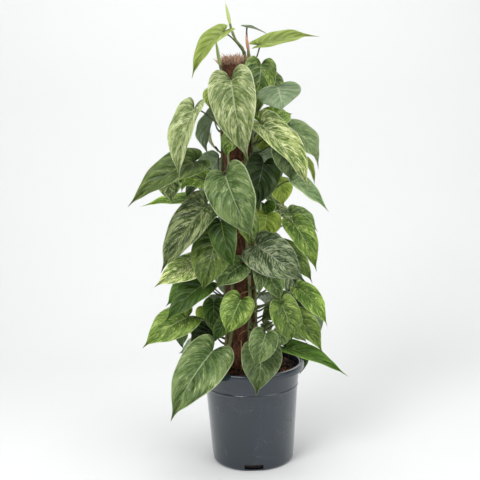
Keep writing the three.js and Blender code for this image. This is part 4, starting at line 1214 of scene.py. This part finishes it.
def makePot():
    top, lip, collar, ring, ringHeight, foot = potSizes()
    wall = potShape["wall"]
    inner = potShape["channelInner"]
    outer = inner + potShape["channelWidth"]
    rise = potShape["channelRise"]
    lipFoot = top - potShape["lipHeight"]
    proud = ring + potShape["ringProud"]
    corners = [
        (1, 0, 0), (inner, 0, 0.8), (inner + 2, rise, 0.8), (outer, rise, 0.8),
        (outer + 2, 0, 0.8), (foot - 4, 0, 1.2), (foot - 1.2, 1.2, 1.5), (foot, 4, 1.5),
        (wallRadius(ringHeight - 2), ringHeight - 2, 0.5), (proud, ringHeight - 1, 0.6),
        (proud, ringHeight + 1, 0.6), (wallRadius(ringHeight + 2), ringHeight + 2, 0.5),
        (wallRadius(lipFoot - 4), lipFoot - 4, 0), (wallRadius(top - wall), top - wall, 0.4),
        (lip - wall, top - wall - 0.2, 0.6), (lip - wall, lipFoot, 0.4), (lip, lipFoot, 0.5),
        (lip, top - 1.6, 0), (lip - 0.5, top - 0.5, 0.5), (lip - 1.6, top, 0.7),
        (collar - wall + 1, top, 0.8), (collar - wall, top - 1.2, 0.5),
        (ring - wall, ringHeight, 0.6), (foot - wall, 4, 1.2), (foot - 4, wall, 1.2),
        (outer + 2, wall, 0.6), (outer, rise + wall, 0.6), (inner + 2, rise + wall, 0.6),
        (inner, wall, 0.6), (1, wall, 0),
    ]
    profile = [(radius * mm, height * mm) for radius, height in rounded(corners)]
    piece = lathe(profile, potShape["sides"])

    # drain slots along the foot
    cutters = []
    for step in range(potShape["slots"]):
        angle = 2 * math.pi * step / potShape["slots"]
        reach = foot * mm
        bpy.ops.mesh.primitive_cube_add(
            size=1, location=(reach * math.sin(angle), -reach * math.cos(angle), 0),
            rotation=(0, 0, angle),
            scale=(potShape["slotWidth"] * mm, 2 * potShape["slotDepth"] * mm,
                   2 * potShape["slotHeight"] * mm))
        cutters.append(bpy.context.object)
    pickOnly(cutters[0])
    for cutter in cutters:
        cutter.select_set(True)
    bpy.ops.object.join()
    cutter = bpy.context.object
    cut = piece.modifiers.new("slots", "BOOLEAN")
    cut.object = cutter
    cut.solver = "EXACT"
    applyAll(piece)
    bpy.data.objects.remove(cutter)
    bpy.ops.object.shade_smooth_by_angle(angle=math.radians(32))
    finishPiece(piece, "pot_skin", "pot_plastic", [potSkin()], "pot")


def soilLevelAt(x, y):
    # the mound falls away towards the wall
    share = min(math.hypot(x, y) / (potSizes()[2] * mm), 1)
    return plant["soil"] + soilShape["mound"] * mm * (1 - share ** 2) - 1 * mm * share ** 6


def makeSoil():
    top, lip, collar, ring, ringHeight, foot = potSizes()
    inside = (wallRadius(top - 10) - potShape["wall"] - 0.3) * mm
    floor = soilLow.z
    profile = [(2 * mm, floor), ((wallRadius(floor / mm) - 1.9) * mm, floor),
               ((ring - 1.9) * mm, ringHeight * mm)]
    for step in range(soilShape["rings"]):
        radius = inside + (1 * mm - inside) * step / (soilShape["rings"] - 1)
        profile.append((radius, soilLevelAt(radius, 0)))
    piece = lathe(profile, soilShape["sides"])
    finer = piece.modifiers.new("finer", "SUBSURF")
    finer.subdivision_type = "SIMPLE"
    finer.levels = 1
    applyAll(piece)
    surface = piece.vertex_groups.new(name="surface")
    for vertex in piece.data.vertices:
        reach = math.hypot(vertex.co.x, vertex.co.y)
        if vertex.co.z > plant["soil"] - 2 * mm and reach < inside - 1 * mm:
            surface.add([vertex.index], 1, "REPLACE")
    lumps = displace(piece, "lumps", 14 * mm, soilShape["lumps"] * mm, 2)
    crumbs = displace(piece, "crumbs", 3.5 * mm, soilShape["crumbs"] * mm, 2)
    for modifier in (lumps, crumbs):
        modifier.vertex_group = "surface"
        modifier.direction = "Z"
    applyAll(piece)
    bpy.ops.object.shade_smooth()
    finishPiece(piece, "soil_skin", "potting_mix", [soilSkin()], "soil")


def makeChips():
    # chopped bark and coir: small split blocks lying any way up
    dice = random.Random(21)
    shape = bmesh.new()
    reach = (potSizes()[2] - 5) * mm
    count = 0
    while count < soilShape["chips"]:
        x, y = dice.uniform(-reach, reach), dice.uniform(-reach, reach)
        if math.hypot(x, y) > reach:
            continue
        if math.hypot(x - plant["poleX"], y) < plant["poleRadius"] + 1 * mm:
            continue
        count += 1
        size = dice.uniform(1.2, 3.2) + (dice.random() < 0.12) * dice.uniform(1, 3)
        made = bmesh.ops.create_icosphere(shape, subdivisions=1, radius=1)["verts"]
        stretch = Vector((dice.uniform(0.8, 1.9), dice.uniform(0.6, 1.1), dice.uniform(0.3, 0.7)))
        turns = [dice.uniform(0, 6.3), dice.uniform(-0.5, 0.5), dice.uniform(-0.5, 0.5)]
        level = soilLevelAt(x, y) + dice.uniform(-0.4, 1.0) * mm
        for vertex in made:
            place = Vector([vertex.co[i] * stretch[i] * dice.uniform(0.75, 1.2) for i in range(3)])
            spun = Vector((place.x * math.cos(turns[0]) - place.y * math.sin(turns[0]),
                           place.x * math.sin(turns[0]) + place.y * math.cos(turns[0]),
                           place.z + place.x * turns[1] + place.y * turns[2]))
            vertex.co = spun * size * mm + Vector((x, y, level))
    piece = fromBmesh(shape, "bark_chips")
    finishPiece(piece, "bark_chips", "potting_mix", [chipSkin()], "soil")


makePot()
makeSoil()
makeChips()
print("pot and soil ready")
